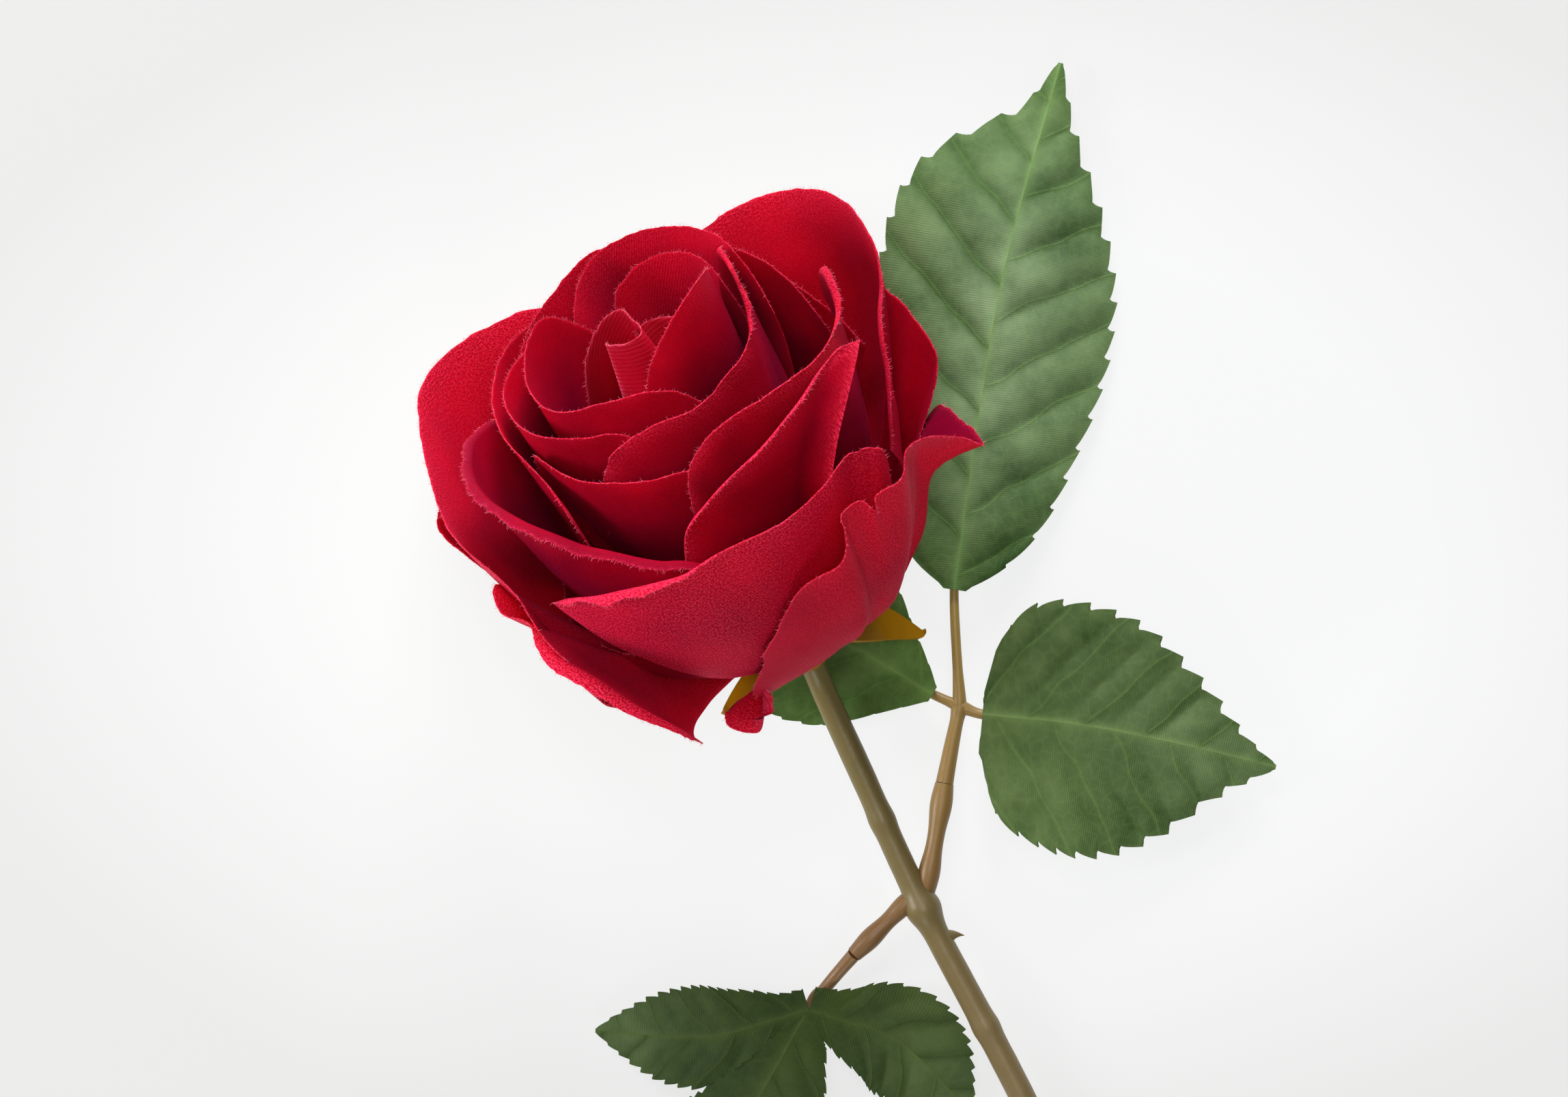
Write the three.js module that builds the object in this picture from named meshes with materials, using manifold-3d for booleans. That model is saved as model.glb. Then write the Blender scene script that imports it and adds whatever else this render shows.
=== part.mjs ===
// A cut rose of satin cloth on a moulded plastic stem, lying on a table. Millimetres, +Z up.
// The flower leans on its petals, the stem's cut end and the leaves touch the table too.
// Its plan is drawn round a point near the middle of the flower and the leaves, and the whole
// group is moved at the end so that the origin is under the middle of its box.

import * as THREE from "three";
import { mergeVertices } from "three/addons/utils/BufferGeometryUtils.js";
import Module from "manifold-3d";

const wasm = await Module();
wasm.setup();

// Driving dimensions
const GAP = 0.3;
const MERGE_DISTANCE = 1e-4;
const CLOTH = 0.8;
const LEAF_CLOTH = 0.7;

const BLOOM_BASE = [2, -14.7, 16.5];
const BLOOM_RISE = 32;
const BLOOM_HEADING = 119.2;

const PEG_RADIUS = 2.4;
const PEG_TOP = 50;
const PEG_DEPTH = 2;
const DISC_RADIUS = 6.4;
const DISC_THICKNESS = 0.9;
const FOOT_RADIUS = 5;
const FOOT_SPREAD = 0.15;
const FOOT_STAGGER = 0.45;
const PETAL_ROWS = 5;
const ROWS_TO_RIM = 1.35;
const COLUMNS_PER_POINT = 0.65;
const BELLY = [0.55, 0.9];
const RISE = [0.04, 0.4];
const TAPER = [1, 1];
const FLARE_POWER = 12;
const PEG_TAPER = 0.7;
const TABLE_GAP = 0.32;
const TABLE_SIZE = 600;
const TABLE_DEPTH = 50;
const FLOOR_SOFTNESS = 1;
const FLOOR_LAYER_STEP = 1.3;

const STEM_RADIUS_TOP = 2.2;
const STEM_RADIUS_END = 2.6;
const WIRE_RADIUS = 0.8;
const STEM_SIDES = 8;
const WIRE_SIDES = 6;
const WIRE_STEPS = 18;
const BORE_OVERRUN = 3;
const THORN_HEIGHT = 1.7;
const THORN_ROOT_DEPTH = 1.5;
const THORN_RADIUS = 1.3;
const THORN_SIDES = 6;
const THORN_LEAN = 0.35;
const THORN_STAND = 0.9;

const LEAF_TIP_WIDTH = 0.35;
const FULL_TOOTH_WIDTH = 7;
const TOOTH_BITE = 0.75;
const TOOTH_LEAN = 0.5;
const TOOTH_TIP_SHARE = 0.78;
const RIB_DROP = 0.1;

const SEPAL_THICKNESS = 0.9;
const SEPAL_TIP = 0.3;
const SEPAL_TWIST_RATE = 2.5;
const SEPAL_FLOOR = 3.4;
const SEPAL_ROOT_RADIUS = 5;
const SEPAL_ROOT_HEIGHT = -0.4;
const SEPAL_CURVE = 1.5;
const SEPAL_HOLLOW = 0.5;
const SEPAL_ROWS = 5;
const SEPAL_SIDES = [-1, 0, 1];

// Colours of the pieces
const MATERIALS = {
  satin: { color: 0xb3121f, roughness: 0.55, metalness: 0 },
  leafCloth: { color: 0x4c7a3c, roughness: 0.7, metalness: 0 },
  stemPlastic: { color: 0x9a8552, roughness: 0.5, metalness: 0 },
  calyxPlastic: { color: 0xb98a1c, roughness: 0.5, metalness: 0 },
  pegPlastic: { color: 0xd8d4c4, roughness: 0.6, metalness: 0 },
  steel: { color: 0x8c8c8c, roughness: 0.4, metalness: 1 },
};

// Petals, from the bud outwards. A rim is a list of points round the petal's edge, each one
// [degrees round the flower's axis from its upper side, distance from the axis, height]. Belly and
// rise shape the way up from the foot, taper narrows it on its two sides, flare throws the rim
// outward at shares along it, and swell rounds the middle.
const WHORLS = [
  {
    name: "bud_roll",
    foot: 13,
    petals: {
      roll: {
        rim: [[236, 15.6, 52], [231, 12.6, 61], [222, 10.6, 65.5], [211, 8.4, 68.5],
          [197, 7.2, 70], [183, 6.4, 70.6], [168, 5.4, 70.6], [150, 3.4, 70.6], [118, 2.2, 70.4],
          [75, 2.6, 69.6], [30, 3.4, 69], [-15, 3.2, 69], [-60, 3.2, 69], [-95, 3.8, 68.6],
          [-125, 5, 68]],
        swell: 3.4,
      },
      cheek: {
        rim: [[150, 2.6, 67.5], [128, 4.6, 67.6], [106, 6.4, 67.4], [90, 8.6, 67],
          [82, 10.8, 65.6], [76, 12.6, 62], [70, 13.4, 54]],
      },
    },
  },
  {
    name: "petals_a",
    foot: 11,
    petals: {
      front: {
        rim: [[-25, 9, 50], [-13, 10.5, 61], [1, 12, 67], [19, 14, 72], [38, 15.5, 75],
          [60, 16.5, 75.5], [85, 17, 73], [105, 17, 68], [120, 17, 56]],
      },
      back: {
        rim: [[92, 19, 56], [104, 19, 66], [115, 19, 70], [127, 18.8, 71], [140, 18, 71.5],
          [152, 16.5, 71.5], [162, 14.5, 71], [175, 12.5, 69], [190, 12, 58]],
      },
      left: {
        rim: [[190, 20, 58], [205, 21, 67], [215, 21, 70], [231, 20.7, 69.5], [247, 20, 68],
          [266, 19.4, 67], [283, 18.8, 66.5], [300, 18, 66.5], [330, 16.2, 67], [356, 15.5, 65.5],
          [373, 15.9, 61.5], [390, 17.5, 52]],
      },
    },
  },
  {
    name: "petals_b",
    foot: 9.3,
    petals: {
      right: {
        rim: [[-47, 25.5, 47], [-37, 24, 58], [-27, 22, 61.5], [-10, 20.6, 62.3], [8, 20, 61],
          [20, 20.5, 61.5], [31, 20.8, 62.5], [42, 21.5, 63], [53, 21.7, 64], [65, 21, 65.5],
          [82, 20.5, 67], [99, 21, 68.5], [115, 22.5, 69], [130, 24, 60]],
      },
      back: {
        rim: [[97, 24, 57], [108, 24.5, 65], [119, 25.2, 69.3], [131, 26.3, 70],
          [142, 27.3, 70.5], [153, 28.5, 70.5], [165, 30, 70], [175, 30, 69.5], [183, 28, 68.5],
          [190, 25.5, 67], [197, 23.5, 64], [204, 23, 55]],
      },
      left: {
        rim: [[158, 32, 57], [167, 32, 66], [176, 31.6, 69], [185, 29.7, 69.2], [194, 28.3, 68.5],
          [203, 27.3, 68], [212, 27.5, 66.5], [222, 27.5, 63], [232, 27.5, 56]],
      },
      front: {
        rim: [[200, 25, 54], [212, 24.8, 63], [230, 24.8, 66], [250, 24.8, 66], [270, 24.2, 66],
          [287, 24, 66], [301, 23.5, 65.7], [316, 22, 64.5], [333, 19.6, 62], [344, 18.8, 53]],
      },
    },
  },
  {
    name: "petals_c",
    foot: 7.6,
    petals: {
      left: {
        rim: [[188, 31, 52], [199, 32, 62], [209, 32.4, 64], [220, 32, 64], [234, 29.8, 64],
          [247, 28.3, 64], [263, 27.2, 64], [280, 27, 63.5], [291, 27.3, 62], [302, 28.6, 60],
          [309, 30.2, 57], [312, 31, 52], [313, 31.5, 43]],
      },
      front: {
        rim: [[284, 25.8, 54], [292, 25.6, 62], [301, 26.4, 63], [311, 27.2, 61.3], [320, 28, 60],
          [331, 28.4, 58.8], [342, 28, 57.2], [353, 27.5, 56], [364, 27.5, 53], [374, 27.8, 45]],
      },
      right: {
        rim: [[-11, 29, 46], [-4, 29, 56], [5, 30, 60.5], [18, 30.3, 61.5], [28, 31, 61],
          [38, 32, 60.2], [48, 33.8, 59.5], [59, 34.5, 59], [69, 34.4, 59], [76, 34.2, 60],
          [84, 34, 61], [93, 33.6, 60], [102, 33.6, 54]],
      },
      back: {
        rim: [[86, 31, 46], [95, 30, 54], [104, 29, 60], [117, 28.5, 63], [130, 29, 64],
          [145, 31, 65], [160, 33.5, 64], [172, 34.5, 60], [181, 34.5, 50]],
      },
    },
  },
  {
    name: "petals_d",
    foot: 5.9,
    petals: {
      right: {
        rim: [[-22, 36.5, 34], [-15, 36.4, 45], [-11, 36, 50.3], [-4, 35.8, 53], [6, 36, 55.5],
          [18, 36.3, 57.3], [30, 37.2, 59.3], [40, 37.6, 60.4], [47, 38.2, 60.4], [52, 39.6, 60],
          [55, 41, 59.6]],
        taper: [4, 10],
      },
      left: {
        rim: [[218, 35, 43], [229, 34, 53], [240, 33, 57], [250, 33.5, 59], [261, 34, 60],
          [273, 34.8, 60.5], [284, 35.5, 60.8], [293, 36.3, 60.6], [302, 37, 60], [309, 37.8, 59],
          [316, 38, 57.2], [322, 38, 54.6], [328, 38, 52.5], [334, 38.4, 50.3], [340, 39, 48.4],
          [345, 39, 46.8], [352, 38.6, 42], [356, 37, 35]],
      },
      back: {
        rim: [[112, 38, 36], [124, 38, 45], [138, 38.5, 51], [154, 39, 54], [172, 39.5, 55],
          [190, 39.5, 54], [206, 39, 50], [218, 38.5, 44], [227, 38, 34]],
      },
    },
  },
  {
    name: "petals_e",
    foot: 4.2,
    petals: {
      front: {
        rim: [[-51, 42.3, 45.8], [-43, 43, 47.2], [-37, 43, 47.2], [-30, 43, 47.2],
          [-22, 43, 46.9], [-15, 43, 46.8], [-8, 43, 47.8], [-1, 43.4, 48], [6, 43.5, 47.4],
          [14, 43.3, 47.2], [22, 42.4, 47.4], [28, 41.4, 47.6], [33, 40.6, 47], [37, 41.8, 46],
          [39, 43, 44.6], [40, 42.4, 41], [41, 39.6, 34]],
      },
      left: {
        rim: [[174, 45, 36], [183, 48, 48], [193, 49.5, 55], [204, 51.2, 58], [218, 51.8, 60],
          [228, 50.5, 60], [236, 48, 58], [246, 45.7, 55], [258, 44.2, 52.5], [272, 42.7, 50.5],
          [284, 41.9, 49.3], [293, 42.1, 48], [300, 43.4, 46.8], [305, 45.6, 45],
          [309, 47.4, 41.5], [312, 48, 38], [314, 47.8, 34]],
        taper: [0.4, 0.4],
      },
      back: {
        rim: [[174, 46, 34], [168, 48.4, 45], [160, 51, 52], [152, 51.8, 55], [144, 52.6, 56.5],
          [136, 53.2, 57], [128, 52.8, 57.2], [120, 51, 56.5], [112, 48.4, 55], [105, 46, 53],
          [98, 43, 51], [89, 39.4, 49], [81, 37.6, 47], [74, 36.8, 44], [67, 35.8, 40],
          [59, 34.6, 34]],
      },
      right: {
        rim: [[64, 33.5, 24], [68, 37.4, 31], [70, 41.6, 36], [72, 44.5, 40], [75, 45.8, 42.5],
          [79, 45.3, 44.2], [85, 44.2, 46], [92, 43.8, 46.8], [99, 43.4, 47], [106, 44.5, 44],
          [113, 46, 36]],
        belly: [0.4, 0.62],
      },
    },
  },
  {
    name: "petals_f",
    foot: 2.5,
    petals: {
      right: {
        rim: [[-25, 26, 7.5], [-20, 29.5, 12], [-13, 33, 17.3], [-9, 36, 22], [-3, 39, 26.5],
          [1, 41.5, 30.6], [6, 43.5, 34.2], [10, 44.7, 35.3], [15, 45.7, 35.4], [18, 46, 37.2],
          [20, 46, 40.5], [21, 46, 43.2], [25, 46.2, 43.4], [28, 47, 42.4], [31, 47.4, 41.8],
          [35, 47.6, 41], [38, 47.4, 41.4], [41, 47.2, 43.4], [45, 47.6, 43], [49, 48.8, 41],
          [53, 50.6, 37.4], [56, 52.2, 33], [59, 50.2, 33.6], [62, 48.2, 34.2], [65, 46.2, 35],
          [70, 43.5, 35], [76, 40.5, 32], [85, 35, 24]],
        belly: [0.55, 0.82],
        taper: [0.4, 0.5],
        flare: [[0, 0], [0.62, 0], [0.68, 3], [0.73, 8], [0.78, 11], [0.815, 11], [0.89, 7.5],
          [0.926, 4.5], [0.963, 2.5], [1, 0]],
      },
      left: {
        rim: [[276, 40, 40], [281, 41.5, 43], [285, 43, 43], [288, 44, 42.4], [293, 44.7, 42.2],
          [298, 44.3, 42.2], [303, 45, 42], [308, 46.9, 40.5], [311, 47.8, 38.5],
          [315, 48.2, 35.8], [319, 48.6, 32.8], [323, 49, 29.2], [326, 49, 25.8], [329, 48, 21],
          [329, 45.5, 16.5], [328, 43, 13]],
        belly: [0.45, 0.72],
        rise: [0.15, 0.5],
        taper: [2, 2],
      },
      curl: {
        rim: [[-41, 22, 4], [-41, 25.5, 4.8], [-40, 27.5, 4.1], [-37, 28, 3], [-32, 28, 1.8],
          [-28.5, 27.5, 1.6], [-25.5, 27, 4], [-22, 27.2, 7.5], [-18.5, 28, 11.5]],
      },
      back_right: {
        rim: [[129, 41, 14], [137, 46.5, 29], [149, 50.5, 40], [165, 50, 43], [182, 48.5, 38],
          [200, 46, 22]],
      },
      back_left: {
        rim: [[178, 46, 18], [193, 48.5, 31], [210, 50, 39.5], [228, 49.8, 43], [240, 48.7, 44.3],
          [248, 48.6, 44.2], [252, 47.4, 42.6], [254, 45.2, 39], [256, 42, 32]],
      },
    },
  },
];

// Calyx: the hip's outline, and for each sepal its degrees round the axis, its length, how far it
// bends back, how far its tip lifts again, how far its face turns round its length, half its width
// and how fast it narrows
const HIP_PROFILE = [[0, -7.6], [3.4, -7.5], [4, -5], [5.4, -2.6], [7, -0.6], [7, 0.8], [0, 0.8]];
const SEPALS = [
  { azimuth: 89, length: 20.2, back: -20.5, lift: 8, twist: 62, width: 8.2, point: 1.5 },
  { azimuth: 152, length: 19, back: -3, lift: 3.4, twist: 0, width: 4.4, point: 0.75 },
  { azimuth: 208, length: 19, back: -3, lift: 3.4, twist: 0, width: 4.4, point: 0.75 },
  { azimuth: 258, length: 20, back: -7, lift: 3.4, twist: 0, width: 4.4, point: 0.75 },
  { azimuth: 302, length: 21, back: -3, lift: 3.4, twist: 0, width: 4.4, point: 0.75 },
];

// Stem, in plan and height, from the flower's base to the cut end
const STEM_ROUTE = [[3.6, -17.6, 14.2], [5.2, -21, 11.3], [7.6, -26.6, 8.9], [13.5, -39.5, 7.4],
  [25, -64.6, 6.2], [43, -98.9, 4.9], [73, -160, 3.5], [104.5, -224, 2.75]];
const NECK_SHARE = 0.11;
const NECK_STATIONS = 6;
const STEM_STATIONS = 14;
const STATION_SPACING = 0.008;
const STALK_SIDES = 7;
const ROUND_SIDES = 12;
// Places along the stem are shares of its length from the flower down
const STEM_SWELLINGS = [
  { at: 0.154, rise: 0.25, width: 0.008 },
  { at: 0.23, rise: 1, width: 0.012 },
  { at: 0.335, rise: 0.25, width: 0.008 },
  { at: 0.66, rise: 0.4, width: 0.01 },
];
const THORNS = [
  { at: 0.259, side: -1 },
  { at: 0.55, side: 1 },
  { at: 0.86, side: -1 },
];

// Upper branch of three leaflets and lower branch of one lobed leaf
const UPPER_FORK = [31.6, -28.4, 5];
const UPPER_SOCKET = [[25.6, -60.6, 6.2], [27.2, -52, 6.6], [28.8, -42.2, 6.2]];
const LOWER_SOCKET = [[23.4, -62.2, 6.2], [17.4, -68.2, 5.6], [12.6, -73, 5.2]];

const LEAVES = {
  leaf_terminal: {
    rib: [[30.6, -7.4, 6.4], [34.4, 20, 6.2], [39.6, 50.6, 7], [49.9, 87.5, 2.6]],
    left: [[0, 2], [0.05, 9], [0.15, 13], [0.3, 16.5], [0.5, 21.5], [0.65, 22.5], [0.76, 19],
      [0.84, 11.4], [0.9, 4.8], [1, 0.4]],
    right: [[0, 2], [0.05, 9], [0.14, 15], [0.3, 19.5], [0.45, 22], [0.61, 20.6], [0.74, 15],
      [0.85, 8], [0.92, 4], [1, 0.4]],
    teeth: 17,
    tooth: 1.7,
    fold: -0.16,
    wave: 0.9,
  },
  leaf_right: {
    rib: [[35.6, -29.8, 7.4], [52, -31.4, 9.4], [71, -35, 9.2], [88.3, -39.3, 5.6]],
    left: [[0, 4], [0.04, 14.5], [0.17, 21.5], [0.43, 20.5], [0.65, 13.4], [0.85, 5], [1, 0.4]],
    right: [[0, 7], [0.08, 19], [0.28, 23.6], [0.48, 22.8], [0.66, 17], [0.82, 8], [1, 0.4]],
    teeth: 13,
    tooth: 1.8,
    fold: -0.1,
    wave: 1,
  },
  leaf_left: {
    rib: [[26.7, -26.2, 5.4], [14, -18.6, 3.4], [2, -11.6, 2], [-10.5, -5, 0.9]],
    left: [[0, 1.5], [0.1, 6], [0.3, 14.4], [0.42, 17], [0.56, 18], [0.72, 14], [0.87, 6], [1, 0.4]],
    right: [[0, 1.5], [0.08, 4.6], [0.22, 9.2], [0.37, 14], [0.5, 15], [0.7, 11.5], [0.87, 5.5],
      [1, 0.4]],
    teeth: 12,
    tooth: 0.7,
    fold: -0.09,
    wave: 0.5,
  },
};
const LOBED_LEAF = {
  centre: [4.5, -83, 4],
  lobes: [
    { tip: [-34, -87, 1.6], width: 9.5, bow: 3, teeth: 10 },
    { tip: [-14, -131, 1.2], width: 15, bow: -3, teeth: 12 },
    { tip: [34, -102, 1.6], width: 10.5, bow: 4, teeth: 10 },
  ],
  tooth: 1,
};

// The flower's own directions: along its axis, towards its upper side, and to its right
const rise = THREE.MathUtils.degToRad(BLOOM_RISE);
const heading = THREE.MathUtils.degToRad(BLOOM_HEADING);
const bloomBase = new THREE.Vector3(...BLOOM_BASE);
const bloomAxis = new THREE.Vector3(
  Math.cos(heading) * Math.cos(rise),
  Math.sin(heading) * Math.cos(rise),
  Math.sin(rise),
);
const bloomUp = new THREE.Vector3(
  -Math.cos(heading) * Math.sin(rise),
  -Math.sin(heading) * Math.sin(rise),
  Math.cos(rise),
);
const bloomRight = new THREE.Vector3().crossVectors(bloomAxis, bloomUp);

function bloomPoint(azimuth, radius, height) {
  const angle = THREE.MathUtils.degToRad(azimuth);
  return bloomBase
    .clone()
    .addScaledVector(bloomAxis, height)
    .addScaledVector(bloomUp, radius * Math.cos(angle))
    .addScaledVector(bloomRight, radius * Math.sin(angle));
}

// Curves and steps
const evenly = (steps) => Array.from({ length: steps + 1 }, (_, i) => i / steps);

function smoothCurve(points) {
  return new THREE.CatmullRomCurve3(
    points.map((point) => new THREE.Vector3(...point)),
    false,
    "catmullrom",
    0.5,
  );
}

// Solids and their joins
function merge(geometry) {
  const bare = new THREE.BufferGeometry();
  bare.setAttribute("position", geometry.getAttribute("position"));
  if (geometry.index) bare.setIndex(geometry.index);
  return mergeVertices(bare, MERGE_DISTANCE);
}

function toSolid(geometry) {
  const merged = merge(geometry);
  return new wasm.Manifold(
    new wasm.Mesh({
      numProp: 3,
      vertProperties: merged.attributes.position.array,
      triVerts: new Uint32Array(merged.index.array),
    }),
  );
}

function toGeometry(solid) {
  const mesh = solid.getMesh();
  const geometry = new THREE.BufferGeometry();
  geometry.setAttribute("position", new THREE.BufferAttribute(mesh.vertProperties, 3));
  geometry.setIndex(new THREE.BufferAttribute(mesh.triVerts, 1));
  geometry.computeVertexNormals();
  return geometry;
}

function join(solids) {
  return solids.reduce((whole, solid) => whole.add(solid));
}

function largestBody(solid) {
  return solid.decompose().reduce((best, body) => (body.volume() > best.volume() ? body : best));
}

// Turns the faces of an inside-out shape round
function outwards(geometry) {
  const solid = toSolid(geometry);
  if (solid.volume() > 0) return solid;
  const index = geometry.index.array;
  for (let i = 0; i < index.length; i += 3) {
    [index[i + 1], index[i + 2]] = [index[i + 2], index[i + 1]];
  }
  return toSolid(geometry);
}

// A blade from a grid of middle points: both faces are split into triangles alike
function bladeSolid(grid, thickness, faceNormal) {
  const rows = grid.length;
  const columns = grid[0].length;
  const positions = [];
  for (const side of [0.5, -0.5]) {
    for (let i = 0; i < rows; i++) {
      for (let j = 0; j < columns; j++) {
        const shifted = grid[i][j].clone().addScaledVector(faceNormal(i, j), side * thickness);
        positions.push(shifted.x, shifted.y, shifted.z);
      }
    }
  }
  const index = [];
  const back = rows * columns;
  const quad = (a, b, c, d) => index.push(a, b, c, a, c, d);
  for (let i = 0; i < rows - 1; i++) {
    for (let j = 0; j < columns - 1; j++) {
      const a = i * columns + j;
      quad(a, a + 1, a + columns + 1, a + columns);
      index.push(back + a, back + a + columns + 1, back + a + 1);
      index.push(back + a, back + a + columns, back + a + columns + 1);
    }
  }
  const last = (rows - 1) * columns;
  for (let j = 0; j < columns - 1; j++) {
    quad(j + 1, j, back + j, back + j + 1);
    quad(last + j, last + j + 1, back + last + j + 1, back + last + j);
  }
  for (let i = 0; i < rows - 1; i++) {
    const start = i * columns;
    const end = start + columns - 1;
    quad(start, start + columns, back + start + columns, back + start);
    quad(end + columns, end, back + end, back + end + columns);
  }
  const geometry = new THREE.BufferGeometry();
  geometry.setAttribute("position", new THREE.Float32BufferAttribute(positions, 3));
  geometry.setIndex(index);
  return outwards(geometry);
}

function gridNormals(grid) {
  const rows = grid.length;
  const columns = grid[0].length;
  return (i, j) => {
    const along = grid[Math.min(i + 1, rows - 1)][j].clone().sub(grid[Math.max(i - 1, 0)][j]);
    const across = grid[i][Math.min(j + 1, columns - 1)].clone().sub(grid[i][Math.max(j - 1, 0)]);
    return along.cross(across).normalize();
  };
}

// Petals
function smoothFloor(z, floor) {
  const above = z - floor;
  return floor + 0.5 * (above + Math.sqrt(above * above + FLOOR_SOFTNESS * FLOOR_SOFTNESS));
}

// The value at a share of a length, from a list of [share, value]
function valueAt(pairs, share) {
  const next = pairs.findIndex(([at]) => at >= share);
  if (next <= 0) return pairs[Math.max(next, 0)][1];
  const [from, low] = pairs[next - 1];
  const [to, high] = pairs[next];
  return THREE.MathUtils.mapLinear(share, from, to, low, high);
}

// Radius and height part of the way up from a petal's foot to a point of its rim
function petalSection(edge, foot, { belly = BELLY, rise = RISE }) {
  const reach = edge.y - FOOT_RADIUS;
  const climb = edge.z - foot;
  return new THREE.CubicBezierCurve(
    new THREE.Vector2(FOOT_RADIUS, foot),
    new THREE.Vector2(FOOT_RADIUS + belly[0] * reach, foot + rise[0] * climb),
    new THREE.Vector2(FOOT_RADIUS + belly[1] * reach, foot + rise[1] * climb),
    new THREE.Vector2(edge.y, edge.z),
  );
}

function petalGrid(petal, foot, floor) {
  const { rim, taper = TAPER, flare = [[0, 0]], swell = 0 } = petal;
  const columns = Math.round((rim.length - 1) * COLUMNS_PER_POINT);
  const curve = smoothCurve(rim);
  const first = rim[0][0];
  const last = rim[rim.length - 1][0];
  const middle = (first + last) / 2;
  const edges = evenly(columns).map((share) => {
    const edge = curve.getPoint(share);
    const thrown = valueAt(flare, share);
    edge.y -= thrown;
    const power = edge.x < middle === first < last ? taper[0] : taper[1];
    return { azimuth: edge.x, section: petalSection(edge, foot, petal), thrown, power };
  });
  return evenly(PETAL_ROWS).map((step) => {
    const t = 1 - (1 - step) ** ROWS_TO_RIM;
    return edges.map(({ azimuth, section, thrown, power }) => {
      const { x: radius, y: height } = section.getPoint(t);
      const spread = FOOT_SPREAD + (1 - FOOT_SPREAD) * t ** power;
      const outward = radius + swell * 4 * t * (1 - t) + thrown * t ** FLARE_POWER;
      const point = bloomPoint(middle + (azimuth - middle) * spread, outward, height);
      point.z = smoothFloor(point.z, floor);
      return point;
    });
  });
}

// A petal's grid pushed outwards past its rim and its two sides
function widened(grid, by) {
  const push = (point, from) => point.addScaledVector(point.clone().sub(from).normalize(), by);
  const rows = grid.length;
  for (const line of grid) {
    const columns = line.length;
    push(line[0], line[1]);
    push(line[columns - 1], line[columns - 2]);
  }
  grid[rows - 1].forEach((point, j) => push(point, grid[rows - 2][j]));
  return grid;
}

function discSolid(foot, clearance) {
  const inner = PEG_RADIUS + GAP;
  const outer = DISC_RADIUS + clearance;
  const half = DISC_THICKNESS / 2 + clearance;
  const profile = [[inner, -half], [outer, -half], [outer, half], [inner, half], [inner, -half]].map(
    (point) => new THREE.Vector2(...point),
  );
  const disc = new THREE.LatheGeometry(profile, ROUND_SIDES);
  return toSolid(alongBloom(disc, foot));
}

// A shape turned round +Y is stood on the flower's axis at a height
function alongBloom(geometry, height) {
  const turn = new THREE.Quaternion().setFromUnitVectors(new THREE.Vector3(0, 1, 0), bloomAxis);
  const place = bloomPoint(0, 0, height);
  return geometry.applyMatrix4(
    new THREE.Matrix4().compose(place, turn, new THREE.Vector3(1, 1, 1)),
  );
}

// A whorl, or with a clearance the space that others keep clear of
function whorlSolid(petals, foot, layer, clearance) {
  const floor = TABLE_GAP + FLOOR_LAYER_STEP * (WHORLS.length - 1 - layer);
  const blades = Object.values(petals).map((petal, k) => {
    const stagger = FOOT_STAGGER * ((k % 2) - 0.5);
    const grid = petalGrid(petal, foot + stagger, floor);
    if (clearance > 0) widened(grid, clearance);
    return bladeSolid(grid, CLOTH + 2 * clearance, gridNormals(grid));
  });
  return join([discSolid(foot, clearance), ...blades]);
}

function tableBox() {
  const box = new THREE.BoxGeometry(TABLE_SIZE, TABLE_SIZE, TABLE_DEPTH);
  box.translate(0, 0, -TABLE_DEPTH / 2);
  return toSolid(box);
}

// Every whorl keeps clear of the ones inside it
function makeBloom() {
  const table = tableBox();
  let inside = alongPeg(GAP);
  return WHORLS.map(({ name, petals, foot }, layer) => {
    const whole = whorlSolid(petals, foot, layer, 0).subtract(table);
    const solid = largestBody(whole.subtract(inside));
    inside = join([inside, whorlSolid(petals, foot, layer, GAP)]);
    return { name, solid };
  });
}

function alongPeg(clearance) {
  const length = PEG_TOP + PEG_DEPTH + 2 * clearance;
  const peg = new THREE.CylinderGeometry(
    PEG_RADIUS * PEG_TAPER + clearance,
    PEG_RADIUS + clearance,
    length,
    ROUND_SIDES,
  );
  peg.translate(0, length / 2 - PEG_DEPTH - clearance, 0);
  return toSolid(alongBloom(peg, 0));
}

// Stem, its wire, its bumps and thorns. A rod's radius is a function of how far along it is
function rodSolid(curve, radiusAt, sides, stations, overrun = 0) {
  const positions = [];
  const index = [];
  const upward = new THREE.Vector3(0, 0, 1);
  const steps = stations.length - 1;
  for (const t of stations) {
    const tangent = curve.getTangentAt(t);
    const centre = curve.getPointAt(t);
    if (t === 0) centre.addScaledVector(tangent, -overrun);
    if (t === 1) centre.addScaledVector(tangent, overrun);
    const sideways = new THREE.Vector3().crossVectors(tangent, upward).normalize();
    const over = new THREE.Vector3().crossVectors(sideways, tangent);
    for (let k = 0; k < sides; k++) {
      const angle = ((k + 0.5) / sides) * 2 * Math.PI;
      const point = centre
        .clone()
        .addScaledVector(sideways, radiusAt(t) * Math.sin(angle))
        .addScaledVector(over, -radiusAt(t) * Math.cos(angle));
      positions.push(point.x, point.y, point.z);
    }
  }
  for (let i = 0; i < steps; i++) {
    for (let k = 0; k < sides; k++) {
      const a = i * sides + k;
      const b = i * sides + ((k + 1) % sides);
      index.push(a, b, b + sides, a, b + sides, a + sides);
    }
  }
  for (let k = 1; k < sides - 1; k++) {
    index.push(0, k + 1, k);
    const last = steps * sides;
    index.push(last, last + k, last + k + 1);
  }
  const geometry = new THREE.BufferGeometry();
  geometry.setAttribute("position", new THREE.Float32BufferAttribute(positions, 3));
  geometry.setIndex(index);
  return outwards(geometry);
}

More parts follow.
